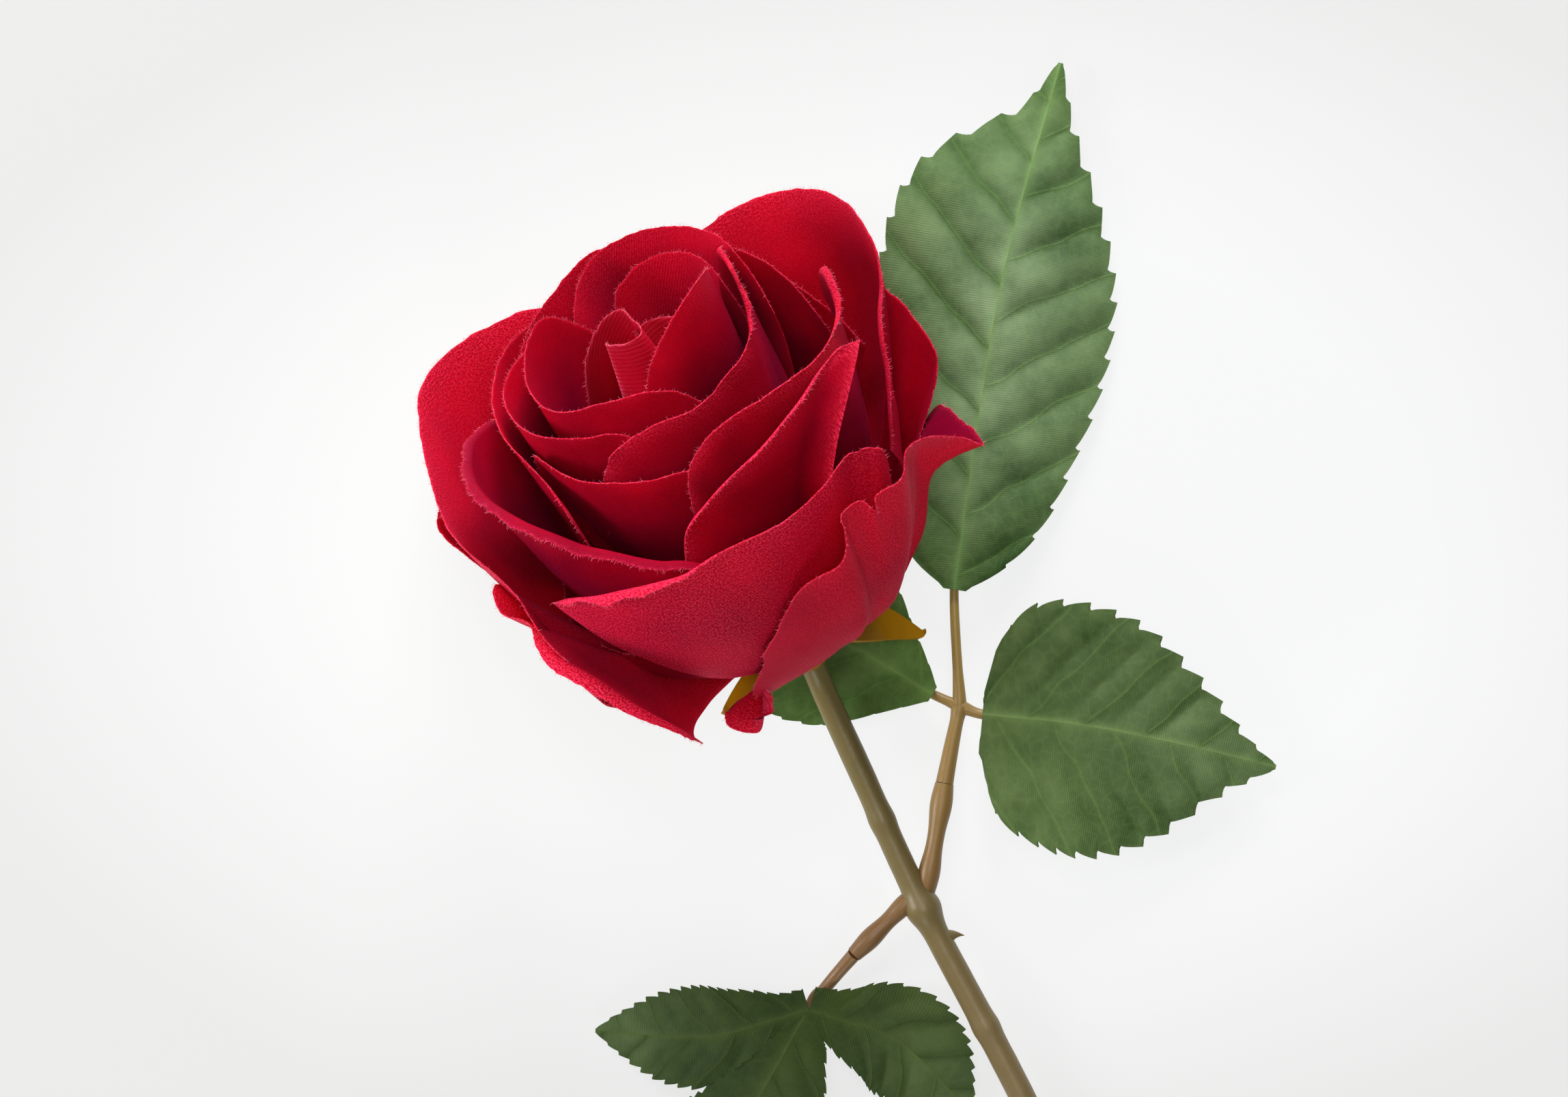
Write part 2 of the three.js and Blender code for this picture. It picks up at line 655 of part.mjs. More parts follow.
const stemCurve = smoothCurve(STEM_ROUTE);
const bell = (t, centre, width) => Math.exp(-(((t - centre) / width) ** 2));

function stemRadius(t) {
  const plain = STEM_RADIUS_TOP + (STEM_RADIUS_END - STEM_RADIUS_TOP) * t;
  return STEM_SWELLINGS.reduce((r, { at, rise, width }) => r + rise * bell(t, at, width), plain);
}

// Even steps, with closer ones at each swelling
function stemStations() {
  const close = STEM_SWELLINGS.flatMap(({ at, width }) =>
    [-1.7, -0.8, 0, 0.8, 1.7].map((k) => at + k * width),
  );
  const neck = evenly(NECK_STATIONS).map((t) => t * NECK_SHARE);
  const rest = evenly(STEM_STATIONS).map((t) => NECK_SHARE + (1 - NECK_SHARE) * t);
  const plain = [...neck, ...rest.slice(1)];
  const clear = plain.filter((t) => close.every((c) => Math.abs(c - t) > STATION_SPACING));
  return [...clear, ...close].sort((a, b) => a - b);
}

function thornSolid({ at, side }) {
  const thorn = new THREE.ConeGeometry(THORN_RADIUS, THORN_HEIGHT + THORN_ROOT_DEPTH, THORN_SIDES);
  thorn.scale(0.6, 1, 1.2);
  const tangent = stemCurve.getTangentAt(at);
  const out = new THREE.Vector3()
    .crossVectors(tangent, new THREE.Vector3(0, 0, 1))
    .normalize()
    .multiplyScalar(side);
  const lean = out.clone().addScaledVector(tangent, THORN_LEAN).normalize();
  const turn = new THREE.Quaternion().setFromUnitVectors(new THREE.Vector3(0, 1, 0), lean);
  const place = stemCurve.getPointAt(at).addScaledVector(out, STEM_RADIUS_TOP + THORN_STAND);
  return toSolid(
    thorn.applyMatrix4(new THREE.Matrix4().compose(place, turn, new THREE.Vector3(1, 1, 1))),
  );
}

function makeStem() {
  const outer = rodSolid(stemCurve, stemRadius, STEM_SIDES, stemStations());
  const bore = wireSolid(WIRE_RADIUS + GAP, 0, BORE_OVERRUN);
  return join([outer, ...THORNS.map(thornSolid)]).subtract(bore);
}

// A rod in the middle of the stem: it starts a gap further along, and may run out past the cut end
function wireSolid(radius, startGap, overrun) {
  const middle = smoothCurve(STEM_ROUTE.slice(1));
  const route = middle.getSpacedPoints(WIRE_STEPS);
  route[0].addScaledVector(middle.getTangentAt(0), startGap);
  if (overrun > 0) route.push(middle.getPointAt(1).addScaledVector(middle.getTangentAt(1), overrun));
  const outline = new THREE.Shape();
  outline.absarc(0, 0, radius, 0, 2 * Math.PI);
  const rod = new THREE.ExtrudeGeometry(outline, {
    extrudePath: new THREE.CatmullRomCurve3(route, false, "catmullrom", 0.5),
    steps: route.length - 1,
    curveSegments: WIRE_SIDES / 2,
    bevelEnabled: false,
  });
  return outwards(merge(rod));
}

// Calyx: a hip with five sepals, and the peg that carries the petals
function makeCalyx() {
  const profile = HIP_PROFILE.map((point) => new THREE.Vector2(...point));
  const hip = toSolid(alongBloom(new THREE.LatheGeometry(profile, ROUND_SIDES), 0));
  const sepals = SEPALS.map(sepalSolid);
  return clearOfStem(join([hip, ...sepals]).subtract(alongPeg(GAP)));
}

function sepalSolid({ azimuth, length, back, lift, twist, width: widest, point: narrowing }) {
  const grid = evenly(SEPAL_ROWS).map((t) => {
    const width = widest * (1 - t) ** narrowing * (0.75 + t) + SEPAL_TIP;
    const turned = THREE.MathUtils.degToRad(twist) * Math.min(1, SEPAL_TWIST_RATE * t);
    const radius = SEPAL_ROOT_RADIUS + (length - SEPAL_ROOT_RADIUS) * Math.sin(t * SEPAL_CURVE);
    const height = SEPAL_ROOT_HEIGHT + back * t ** 1.4 + lift * t ** 5;
    return SEPAL_SIDES.map((side) => {
      const across = side * width;
      const turn = THREE.MathUtils.radToDeg((Math.cos(turned) * across) / radius);
      const raised = height + SEPAL_HOLLOW * Math.abs(side) + Math.sin(turned) * across;
      const point = bloomPoint(azimuth + turn, radius, raised);
      point.z = smoothFloor(point.z, SEPAL_FLOOR);
      return point;
    });
  });
  return bladeSolid(grid, SEPAL_THICKNESS, gridNormals(grid));
}

// Leaves
function profileAt(pairs, t) {
  const curve = smoothCurve(pairs.map(([u, w]) => [u, w, 0]));
  let low = 0;
  let high = 1;
  for (let k = 0; k < 30; k++) {
    const half = (low + high) / 2;
    if (curve.getPoint(half).x < t) low = half;
    else high = half;
  }
  return curve.getPoint(low).y;
}

// Rows of a toothed blade: a notch and a forward-pointing tip for every tooth
function toothRows(teeth) {
  const rows = [0];
  for (let k = 0; k < teeth; k++) {
    rows.push((k + TOOTH_TIP_SHARE) / teeth);
    if (k < teeth - 1) rows.push((k + 1) / teeth);
  }
  rows.push(1);
  return rows;
}

function leafGrid({ rib, left, right, teeth, tooth, fold, wave, columns = [1, 0.5, 0, -0.5, -1] }) {
  const curve = smoothCurve(rib);
  return toothRows(teeth).map((u, row) => {
    const isTip = row % 2 === 1;
    const centre = curve.getPointAt(u);
    const tangent = curve.getTangentAt(u);
    const sideways = new THREE.Vector3(-tangent.y, tangent.x, 0).normalize();
    const along = new THREE.Vector3(tangent.x, tangent.y, 0).normalize();
    return columns.map((side) => {
      const isEdge = Math.abs(side) === 1;
      const reach = Math.abs(side) * profileAt(side > 0 ? left : right, u);
      const size = tooth * Math.min(1, reach / FULL_TOOTH_WIDTH);
      const bite = isEdge && !isTip && u > 0 && u < 1 ? size * TOOTH_BITE : 0;
      const width = Math.max(reach - bite, LEAF_TIP_WIDTH);
      const point = centre.clone().addScaledVector(sideways, Math.sign(side) * width);
      if (isEdge && isTip) point.addScaledVector(along, size * TOOTH_LEAN);
      point.z += fold * width + wave * Math.sin(u * 9 + side) * Math.abs(side) * Math.sin(Math.PI * u);
      point.z = smoothFloor(point.z, LEAF_CLOTH / 2 + 0.05);
      return point;
    });
  });
}

function leafSolid(leaf, thickness = LEAF_CLOTH) {
  const upright = new THREE.Vector3(0, 0, 1);
  return bladeSolid(leafGrid(leaf), thickness, () => upright);
}

function lobeSolid(centre, lobe, tooth, thickness) {
  const from = new THREE.Vector3(...centre);
  const to = new THREE.Vector3(...lobe.tip);
  const across = new THREE.Vector3(-(to.y - from.y), to.x - from.x, 0).normalize();
  const half = from.clone().lerp(to, 0.5).addScaledVector(across, lobe.bow);
  half.z = centre[2];
  const near = from.clone().lerp(to, 0.2).addScaledVector(across, lobe.bow * 0.5);
  near.z = centre[2];
  const shape = [[0, 0.42], [0.12, 0.5], [0.3, 0.82], [0.5, 1], [0.7, 0.85], [0.88, 0.42], [1, 0.04]];
  const widths = shape.map(([u, w]) => [u, w * lobe.width]);
  const leaf = {
    rib: [from, near, half, to].map((point) => point.toArray()),
    left: widths,
    right: widths,
    teeth: lobe.teeth,
    tooth,
    fold: 0,
    wave: 0,
    columns: [1, 0, -1],
  };
  return leafSolid(leaf, thickness);
}

function makeLobedLeaf(thickness) {
  const { centre, lobes, tooth } = LOBED_LEAF;
  return join(lobes.map((lobe) => lobeSolid(centre, lobe, tooth, thickness)));
}

// Leaf stalks, which run on as a rib under each leaf
function stalkSolid(points, start, end, steps) {
  return rodSolid(smoothCurve(points), (t) => start + (end - start) * t, STALK_SIDES, evenly(steps));
}

function ribUnder(leaf, share, start, end) {
  const curve = smoothCurve(leaf.rib);
  return evenly(5).map((t) => {
    const point = curve.getPointAt(t * share);
    const radius = start + (end - start) * t;
    const under = point.z - LEAF_CLOTH / 2 - GAP - radius - RIB_DROP;
    return [point.x, point.y, Math.max(under, radius)];
  });
}

function leafletStalk(leaf, fork, share) {
  const start = 0.95;
  const end = 0.55;
  const under = ribUnder(leaf, share, start, end);
  return stalkSolid([fork, ...under], start, end, 10);
}

function makeUpperBranch() {
  const socket = rodSolid(
    smoothCurve(UPPER_SOCKET),
    (t) => 1.5 + 0.75 * bell(t, 0.1, 0.25) + 0.65 * bell(t, 0.82, 0.22),
    STALK_SIDES,
    evenly(8),
  );
  const middle = stalkSolid([UPPER_SOCKET[2], [30.2, -35, 5.5], UPPER_FORK], 1.6, 1.15, 5);
  const solids = [socket, middle];
  solids.push(leafletStalk(LEAVES.leaf_terminal, UPPER_FORK, 0.55));
  solids.push(leafletStalk(LEAVES.leaf_right, UPPER_FORK, 0.55));
  solids.push(leafletStalk(LEAVES.leaf_left, UPPER_FORK, 0.5));
  return clearOfStem(clearOfLeaves(join(solids)));
}

function makeLowerBranch() {
  const socket = rodSolid(
    smoothCurve(LOWER_SOCKET),
    (t) => 1.4 + 0.7 * bell(t, 0.12, 0.25) + 0.55 * bell(t, 0.75, 0.22),
    STALK_SIDES,
    evenly(8),
  );
  const [x, y, z] = LOBED_LEAF.centre;
  const under = z - LEAF_CLOTH / 2 - GAP - 1.2;
  const stalk = stalkSolid(
    [LOWER_SOCKET[2], [9.8, -76.4, 3], [7.2, -79.6, under], [x, y, under], [-3, -102, under - 0.4]],
    1.3,
    0.7,
    10,
  );
  return clearOfStem(join([socket, stalk]).subtract(makeLobedLeaf(LEAF_CLOTH + 2 * GAP)));
}

function clearOfStem(solid) {
  const radius = (t) => stemRadius(t) + GAP;
  return largestBody(solid.subtract(rodSolid(stemCurve, radius, STEM_SIDES, stemStations(), GAP)));
}

function clearOfLeaves(solid) {
  return Object.values(LEAVES).reduce(
    (rest, leaf) => rest.subtract(leafSolid(leaf, LEAF_CLOTH + 2 * GAP)),
    solid,
  );
}

// The whole rose
function addMesh(group, name, solid, material) {
  const mesh = new THREE.Mesh(toGeometry(solid), new THREE.MeshStandardMaterial(MATERIALS[material]));
  mesh.name = name;
  group.add(mesh);
}

const rose = new THREE.Group();
addMesh(rose, "stem", makeStem(), "stemPlastic");
addMesh(rose, "stem_wire", wireSolid(WIRE_RADIUS, GAP, 0), "steel");
addMesh(rose, "calyx", makeCalyx(), "calyxPlastic");
addMesh(rose, "peg", alongPeg(0), "pegPlastic");
for (const { name, solid } of makeBloom()) addMesh(rose, name, solid, "satin");
addMesh(rose, "branch_upper", makeUpperBranch(), "stemPlastic");
addMesh(rose, "branch_lower", makeLowerBranch(), "stemPlastic");
for (const [name, leaf] of Object.entries(LEAVES)) addMesh(rose, name, leafSolid(leaf), "leafCloth");
addMesh(rose, "leaf_lower", makeLobedLeaf(LEAF_CLOTH), "leafCloth");

const box = new THREE.Box3().setFromObject(rose);
rose.position.set(-(box.min.x + box.max.x) / 2, -(box.min.y + box.max.y) / 2, -box.min.z);

export default rose;
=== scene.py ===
import math

import bmesh
import bpy
import numpy as np
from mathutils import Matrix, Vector, noise


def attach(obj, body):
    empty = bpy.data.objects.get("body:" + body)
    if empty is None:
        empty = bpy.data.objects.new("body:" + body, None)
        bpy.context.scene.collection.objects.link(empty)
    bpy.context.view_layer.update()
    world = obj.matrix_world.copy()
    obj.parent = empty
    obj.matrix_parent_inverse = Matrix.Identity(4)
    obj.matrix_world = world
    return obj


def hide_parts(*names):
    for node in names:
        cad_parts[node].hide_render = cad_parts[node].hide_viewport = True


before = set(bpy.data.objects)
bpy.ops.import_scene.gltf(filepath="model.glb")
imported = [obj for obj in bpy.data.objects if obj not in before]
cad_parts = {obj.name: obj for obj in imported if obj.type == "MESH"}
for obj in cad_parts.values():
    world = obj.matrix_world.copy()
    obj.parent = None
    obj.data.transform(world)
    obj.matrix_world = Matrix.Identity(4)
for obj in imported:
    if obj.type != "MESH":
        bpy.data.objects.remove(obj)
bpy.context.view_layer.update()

# Sizes below are millimetres, in a plan whose zero is under the middle of the picture
MM = 0.001
PLAN_ZERO = np.array([-21.16, 68.73, 0.0])
UPWARD = np.array([0.0, 0.0, 1.0])
NOISE_SEED_STEP = 7.31

# Degrees from which an edge is drawn sharp
CLOTH_SHARP = 50
ROD_SHARP = 55

# Flower: where its axis starts, how it rises and where it heads
BLOOM_BASE = np.array([2.0, -14.7, 16.5])
BLOOM_RISE = math.radians(32)
BLOOM_HEADING = math.radians(119.2)
BLOOM_AXIS = np.array([math.cos(BLOOM_HEADING) * math.cos(BLOOM_RISE),
                       math.sin(BLOOM_HEADING) * math.cos(BLOOM_RISE), math.sin(BLOOM_RISE)])
BLOOM_UP = np.array([-math.cos(BLOOM_HEADING) * math.sin(BLOOM_RISE),
                     -math.sin(BLOOM_HEADING) * math.sin(BLOOM_RISE), math.cos(BLOOM_RISE)])
BLOOM_RIGHT = np.cross(BLOOM_AXIS, BLOOM_UP)
FOOT_RADIUS = 5.0
FOOT_SPREAD = 0.15
FOOT_STAGGER = 0.45

# Height of the lowest whorl over the table, of each whorl over the next, and how softly they bend
TABLE_GAP = 0.3
FLOOR_LAYER_STEP = 1.3
FLOOR_SOFTNESS = 1.0

# Petal cloth: its thickness, and the points across a petal, up its blade and over its rolled lip
CLOTH = 0.22
PETAL_COLUMNS = 120
PETAL_ROWS = 26
LIP_ROWS = 8
ROW_CROWDING = 1.35
FLARE_POWER = 36
NOTCH_POWER = 14
NOTCH_WIDTH = 0.01

# Depth and length of a petal's broad, small and rim folds, and its pleats
BROAD_FOLD = (0.5, 17)
SMALL_FOLD = (0.2, 7)
RIM_FOLD = (0.3, 9)
PLEAT_SPACING = 5.5
PLEAT_LENGTH = 45
PLEAT_DEPTH = 0.35

# The lip narrows near its ends, and its cut edge is uneven: depth and length of two ripples
LIP_END = 5
LIP_END_SHARE = 0.12
LIP_LEAST = 0.1
COARSE_NIBBLE = (0.2, 3.1)
FINE_NIBBLE = (0.12, 1.3)
LOOSE_FIBRES = 0.04
# Distance from the rim, in millimetres, that a petal's side edges count as for its painted sheen and shade
# and its cut edge
RIM_DISTANCE_AT_ENDS = 0.3

# How far apart the noise of two petals' edges is, and how many seeds each whorl has
EDGE_SEED_STEP = 11.0
SEEDS_A_WHORL = 5

# Loose threads, with their sizes in metres
THREAD_SIDES = 3
THREAD_TIP = 0.00001
THREAD_SCATTER = 0.9
THREAD_SCALES = (0.3, 1.3)
THREAD_VALUES = {"Spacing": 0.00035, "Length": 0.0006, "Radius": 0.00003, "Seed": 3}

# What a petal has where its entry below says nothing. Rim (always given): degrees round the axis
# from the flower's upper side, distance from the axis, and height. Other lists start each entry
# with a share of the rim.
PLAIN_PETAL = {
    # width of the rolled edge and degrees that it turns, at shares of the rim
    "lip": [(0, 0.4, 20), (1, 0.4, 20)],
    # how sharply the lip folds, and how rough its cut edge is
    "crease": 1, "nibble": 1,
    # way up from the foot: distances and heights in between, and how far it bulges
    "belly": (0.55, 0.9), "rise": (0.04, 0.4), "swell": 0,
    # how fast the two sides widen from the foot
    "taper": (1, 1),
    # rim thrown outward, and cuts in it
    "flare": [(0, 0)], "notch": [],
    # painted sheen all over and near the edge, making it paler (below zero painted shade, making it duller),
    # how far in from the edge that fades, and shares with painted highlight and with painted shade
    "painted_light": (0, 0.12), "border": 3.2, "painted_highlight": [(0, 0)], "painted_shade": [(0, 0)],
}

# Petals of each whorl, from the innermost out, then the height of each whorl's foot. Cup and collar
# close the foot of the flower.
BUD_ROLL = {
    "roll": {
        "rim": [(236, 15.6, 52), (231, 12.6, 61), (222, 10.6, 65.5), (211, 8.4, 68.5), (197, 7.2, 70),
                (183, 6.4, 70.6), (168, 5.4, 70.6), (150, 3.4, 70.6), (118, 2.2, 70.4), (75, 2.6, 69.6),
                (30, 3.4, 69), (-15, 3.2, 69), (-60, 3.2, 69), (-95, 3.8, 68.6), (-125, 5, 68)],
        "lip": [(0, 0.4, 20), (0.93, 0.4, 20), (1, 0.8, -60)],
        "swell": 3.4, "painted_light": (0.03, 0.1),
        # painted highlight near the end of the rim
        "painted_highlight": [(0, 0), (0.93, 0), (0.962, 0.25), (0.982, 0.9), (1, 1.4)],
    },
    "cheek": {
        "rim": [(150, 2.6, 67.5), (128, 4.6, 67.6), (106, 6.4, 67.4), (90, 8.6, 67), (82, 10.8, 65.6),
                (76, 12.6, 62), (70, 13.4, 54)],
        "painted_light": (0.12, 0.05),
    },
}
PETALS_A = {
    "front": {
        "rim": [(-25, 9, 50), (-13, 10.5, 61), (1, 12, 67), (19, 14, 72), (38, 15.5, 75), (60, 16.5, 75.5),
                (85, 17, 73), (105, 17, 68), (120, 17, 56)],
    },
    "back": {
        "rim": [(92, 19, 56), (104, 19, 66), (115, 19, 70), (127, 18.8, 71), (140, 18, 71.5),
                (152, 16.5, 71.5), (162, 14.5, 71), (175, 12.5, 69), (190, 12, 58)],
        "painted_light": (0.1, 0.2),
    },
    "left": {
        "rim": [(190, 20, 58), (205, 21, 67), (215, 21, 70), (231, 20.7, 69.5), (247, 20, 68),
                (266, 19.4, 67), (283, 18.8, 66.5), (300, 18, 66.5), (330, 16.2, 67), (356, 15.5, 65.5),
                (373, 15.9, 61.5), (390, 17.5, 52)],
    },
}
PETALS_B = {
    "right": {
        "rim": [(-47, 25.5, 47), (-37, 24, 58), (-27, 22, 61.5), (-10, 20.6, 62.3), (8, 20, 61),
                (20, 20.5, 61.5), (31, 20.8, 62.5), (42, 21.5, 63), (53, 21.7, 64), (65, 21, 65.5),
                (82, 20.5, 67), (99, 21, 68.5), (115, 22.5, 69), (130, 24, 60)],
        "lip": [(0, 0.4, 20), (0.55, 0.5, 30), (0.72, 1.4, 110), (0.95, 1, 80), (1, 0.5, 30)],
        "nibble": 1.6, "painted_light": (0.05, 0.8), "border": 1.6,
    },
    "back": {
        "rim": [(97, 24, 57), (108, 24.5, 65), (119, 25.2, 69.3), (131, 26.3, 70), (142, 27.3, 70.5),
                (153, 28.5, 70.5), (165, 30, 70), (175, 30, 69.5), (183, 28, 68.5), (190, 25.5, 67),
                (197, 23.5, 64), (204, 23, 55)],
        "painted_light": (0.1, 0.3),
    },
    "left": {
        "rim": [(158, 32, 57), (167, 32, 66), (176, 31.6, 69), (185, 29.7, 69.2), (194, 28.3, 68.5),
                (203, 27.3, 68), (212, 27.5, 66.5), (222, 27.5, 63), (232, 27.5, 56)],
        "painted_light": (0.05, 0.3),
    },
    "front": {
        "rim": [(200, 25, 54), (212, 24.8, 63), (230, 24.8, 66), (250, 24.8, 66), (270, 24.2, 66),
                (287, 24, 66), (301, 23.5, 65.7), (316, 22, 64.5), (333, 19.6, 62), (344, 18.8, 53)],
    },
}
PETALS_C = {
    "left": {
        "rim": [(188, 31, 52), (199, 32, 62), (209, 32.4, 64), (220, 32, 64), (234, 29.8, 64),
                (247, 28.3, 64), (263, 27.2, 64), (280, 27, 63.5), (291, 27.3, 62), (302, 28.6, 60),
                (309, 30.2, 57), (312, 31, 52), (313, 31.5, 43)],
        "lip": [(0, 0.4, 20), (0.7, 0.4, 20), (0.86, 1.3, 60), (1, 1.2, 60)],
    },
    "front": {
        "rim": [(284, 25.8, 54), (292, 25.6, 62), (301, 26.4, 63), (311, 27.2, 61.3), (320, 28, 60),
                (331, 28.4, 58.8), (342, 28, 57.2), (353, 27.5, 56), (364, 27.5, 53), (374, 27.8, 45)],
        "nibble": 1.3,
    },
    "right": {
        "rim": [(-11, 29, 46), (-4, 29, 56), (5, 30, 60.5), (18, 30.3, 61.5), (28, 31, 61), (38, 32, 60.2),
                (48, 33.8, 59.5), (59, 34.5, 59), (69, 34.4, 59), (76, 34.2, 60), (84, 34, 61),
                (93, 33.6, 60), (102, 33.6, 54)],
        "lip": [(0, 0.4, 20), (0.5, 0.5, 30), (0.68, 1.5, 110), (0.9, 1.9, 120), (1, 0.6, 40)],
        "nibble": 1.3, "painted_light": (0.02, 0.8), "border": 1.6,
    },
    "back": {
        "rim": [(86, 31, 46), (95, 30, 54), (104, 29, 60), (117, 28.5, 63), (130, 29, 64), (145, 31, 65),
                (160, 33.5, 64), (172, 34.5, 60), (181, 34.5, 50)],
    },
}
PETALS_D = {
    "right": {
        "rim": [(-22, 36.5, 34), (-15, 36.4, 45), (-11, 36, 50.3), (-4, 35.8, 53), (6, 36, 55.5),
                (18, 36.3, 57.3), (30, 37.2, 59.3), (40, 37.6, 60.4), (47, 38.2, 60.4), (52, 39.6, 60),
                (55, 41, 59.6)],
        "lip": [(0, 0.8, 60), (0.15, 1.4, 105), (0.6, 1.4, 105), (0.85, 1, 60), (1, 0.8, 30)],
        "taper": (4, 10), "painted_light": (0, 1.3), "border": 1.5,
    },
    "left": {
        "rim": [(218, 35, 43), (229, 34, 53), (240, 33, 57), (250, 33.5, 59), (261, 34, 60),
                (273, 34.8, 60.5), (284, 35.5, 60.8), (293, 36.3, 60.6), (302, 37, 60), (309, 37.8, 59),
                (316, 38, 57.2), (322, 38, 54.6), (328, 38, 52.5), (334, 38.4, 50.3), (340, 39, 48.4),
                (345, 39, 46.8), (352, 38.6, 42), (356, 37, 35)],
        "lip": [(0, 0.4, 20), (0.2, 1.6, 60), (0.4, 2.4, 85), (0.62, 2.8, 95), (0.9, 2.8, 95), (1, 1, 40)],
        # painted shade near the rim
        "crease": 3, "nibble": 2, "painted_light": (0.05, -0.9),
    },
    "back": {
        "rim": [(112, 38, 36), (124, 38, 45), (138, 38.5, 51), (154, 39, 54), (172, 39.5, 55),
                (190, 39.5, 54), (206, 39, 50), (218, 38.5, 44), (227, 38, 34)],
    },
    "cup": {
        "rim": [(turn, 33, 25) for turn in range(120, 401, 70)],
        "taper": (0, 0),
    },
}
PETALS_E = {
    "front": {
        "rim": [(-51, 42.3, 45.8), (-43, 43, 47.2), (-37, 43, 47.2), (-30, 43, 47.2), (-22, 43, 46.9),
                (-15, 43, 46.8), (-8, 43, 47.8), (-1, 43.4, 48), (6, 43.5, 47.4), (14, 43.3, 47.2),
                (22, 42.4, 47.4), (28, 41.4, 47.6), (33, 40.6, 47), (37, 41.8, 46), (39, 43, 44.6),
                (40, 42.4, 41), (41, 39.6, 34)],
        "lip": [(0, 1.2, 60), (0.1, 2.6, 120), (0.18, 3.9, 130), (0.27, 3.3, 125), (0.36, 1.6, 90),
                (0.5, 0.8, 45), (1, 0.4, 20)],
        # painted sheen over the whole petal, and a painted highlight near the start of its rim
        "nibble": 3, "painted_light": (0.25, 0.7), "painted_highlight": [(0, 0.3), (0.3, 0.3), (0.55, 0), (1, 0)],
    },
    "left": {
        "rim": [(174, 45, 36), (183, 48, 48), (193, 49.5, 55), (204, 51.2, 58), (218, 51.8, 60),
                (228, 50.5, 60), (236, 48, 58), (246, 45.7, 55), (258, 44.2, 52.5), (272, 42.7, 50.5),
                (284, 41.9, 49.3), (293, 42.1, 48), (300, 43.4, 46.8), (305, 45.6, 45), (309, 47.4, 41.5),
                (312, 48, 38), (314, 47.8, 34)],
        "lip": [(0, 0.5, 25), (1, 0.5, 25)],
        "taper": (0.4, 0.4), "painted_light": (0.12, 0.85), "border": 6,
    },
    "back": {
        "rim": [(174, 46, 34), (168, 48.4, 45), (160, 51, 52), (152, 51.8, 55), (144, 52.6, 56.5),
                (136, 53.2, 57), (128, 52.8, 57.2), (120, 51, 56.5), (112, 48.4, 55), (105, 46, 53),
                (98, 43, 51), (89, 39.4, 49), (81, 37.6, 47), (74, 36.8, 44), (67, 35.8, 40),
                (59, 34.6, 34)],
        "lip": [(0, 0.5, 25), (0.6, 0.6, 30), (0.66, 1.2, 50), (0.74, 2, 60), (1, 2, 60)],
        "painted_light": (0.12, 0.6),
    },
    "right": {
        "rim": [(64, 33.5, 24), (68, 37.4, 31), (70, 41.6, 36), (72, 44.5, 40), (75, 45.8, 42.5),
                (79, 45.3, 44.2), (85, 44.2, 46), (92, 43.8, 46.8), (99, 43.4, 47), (106, 44.5, 44),
                (113, 46, 36)],
        "belly": (0.4, 0.62),
    },
}
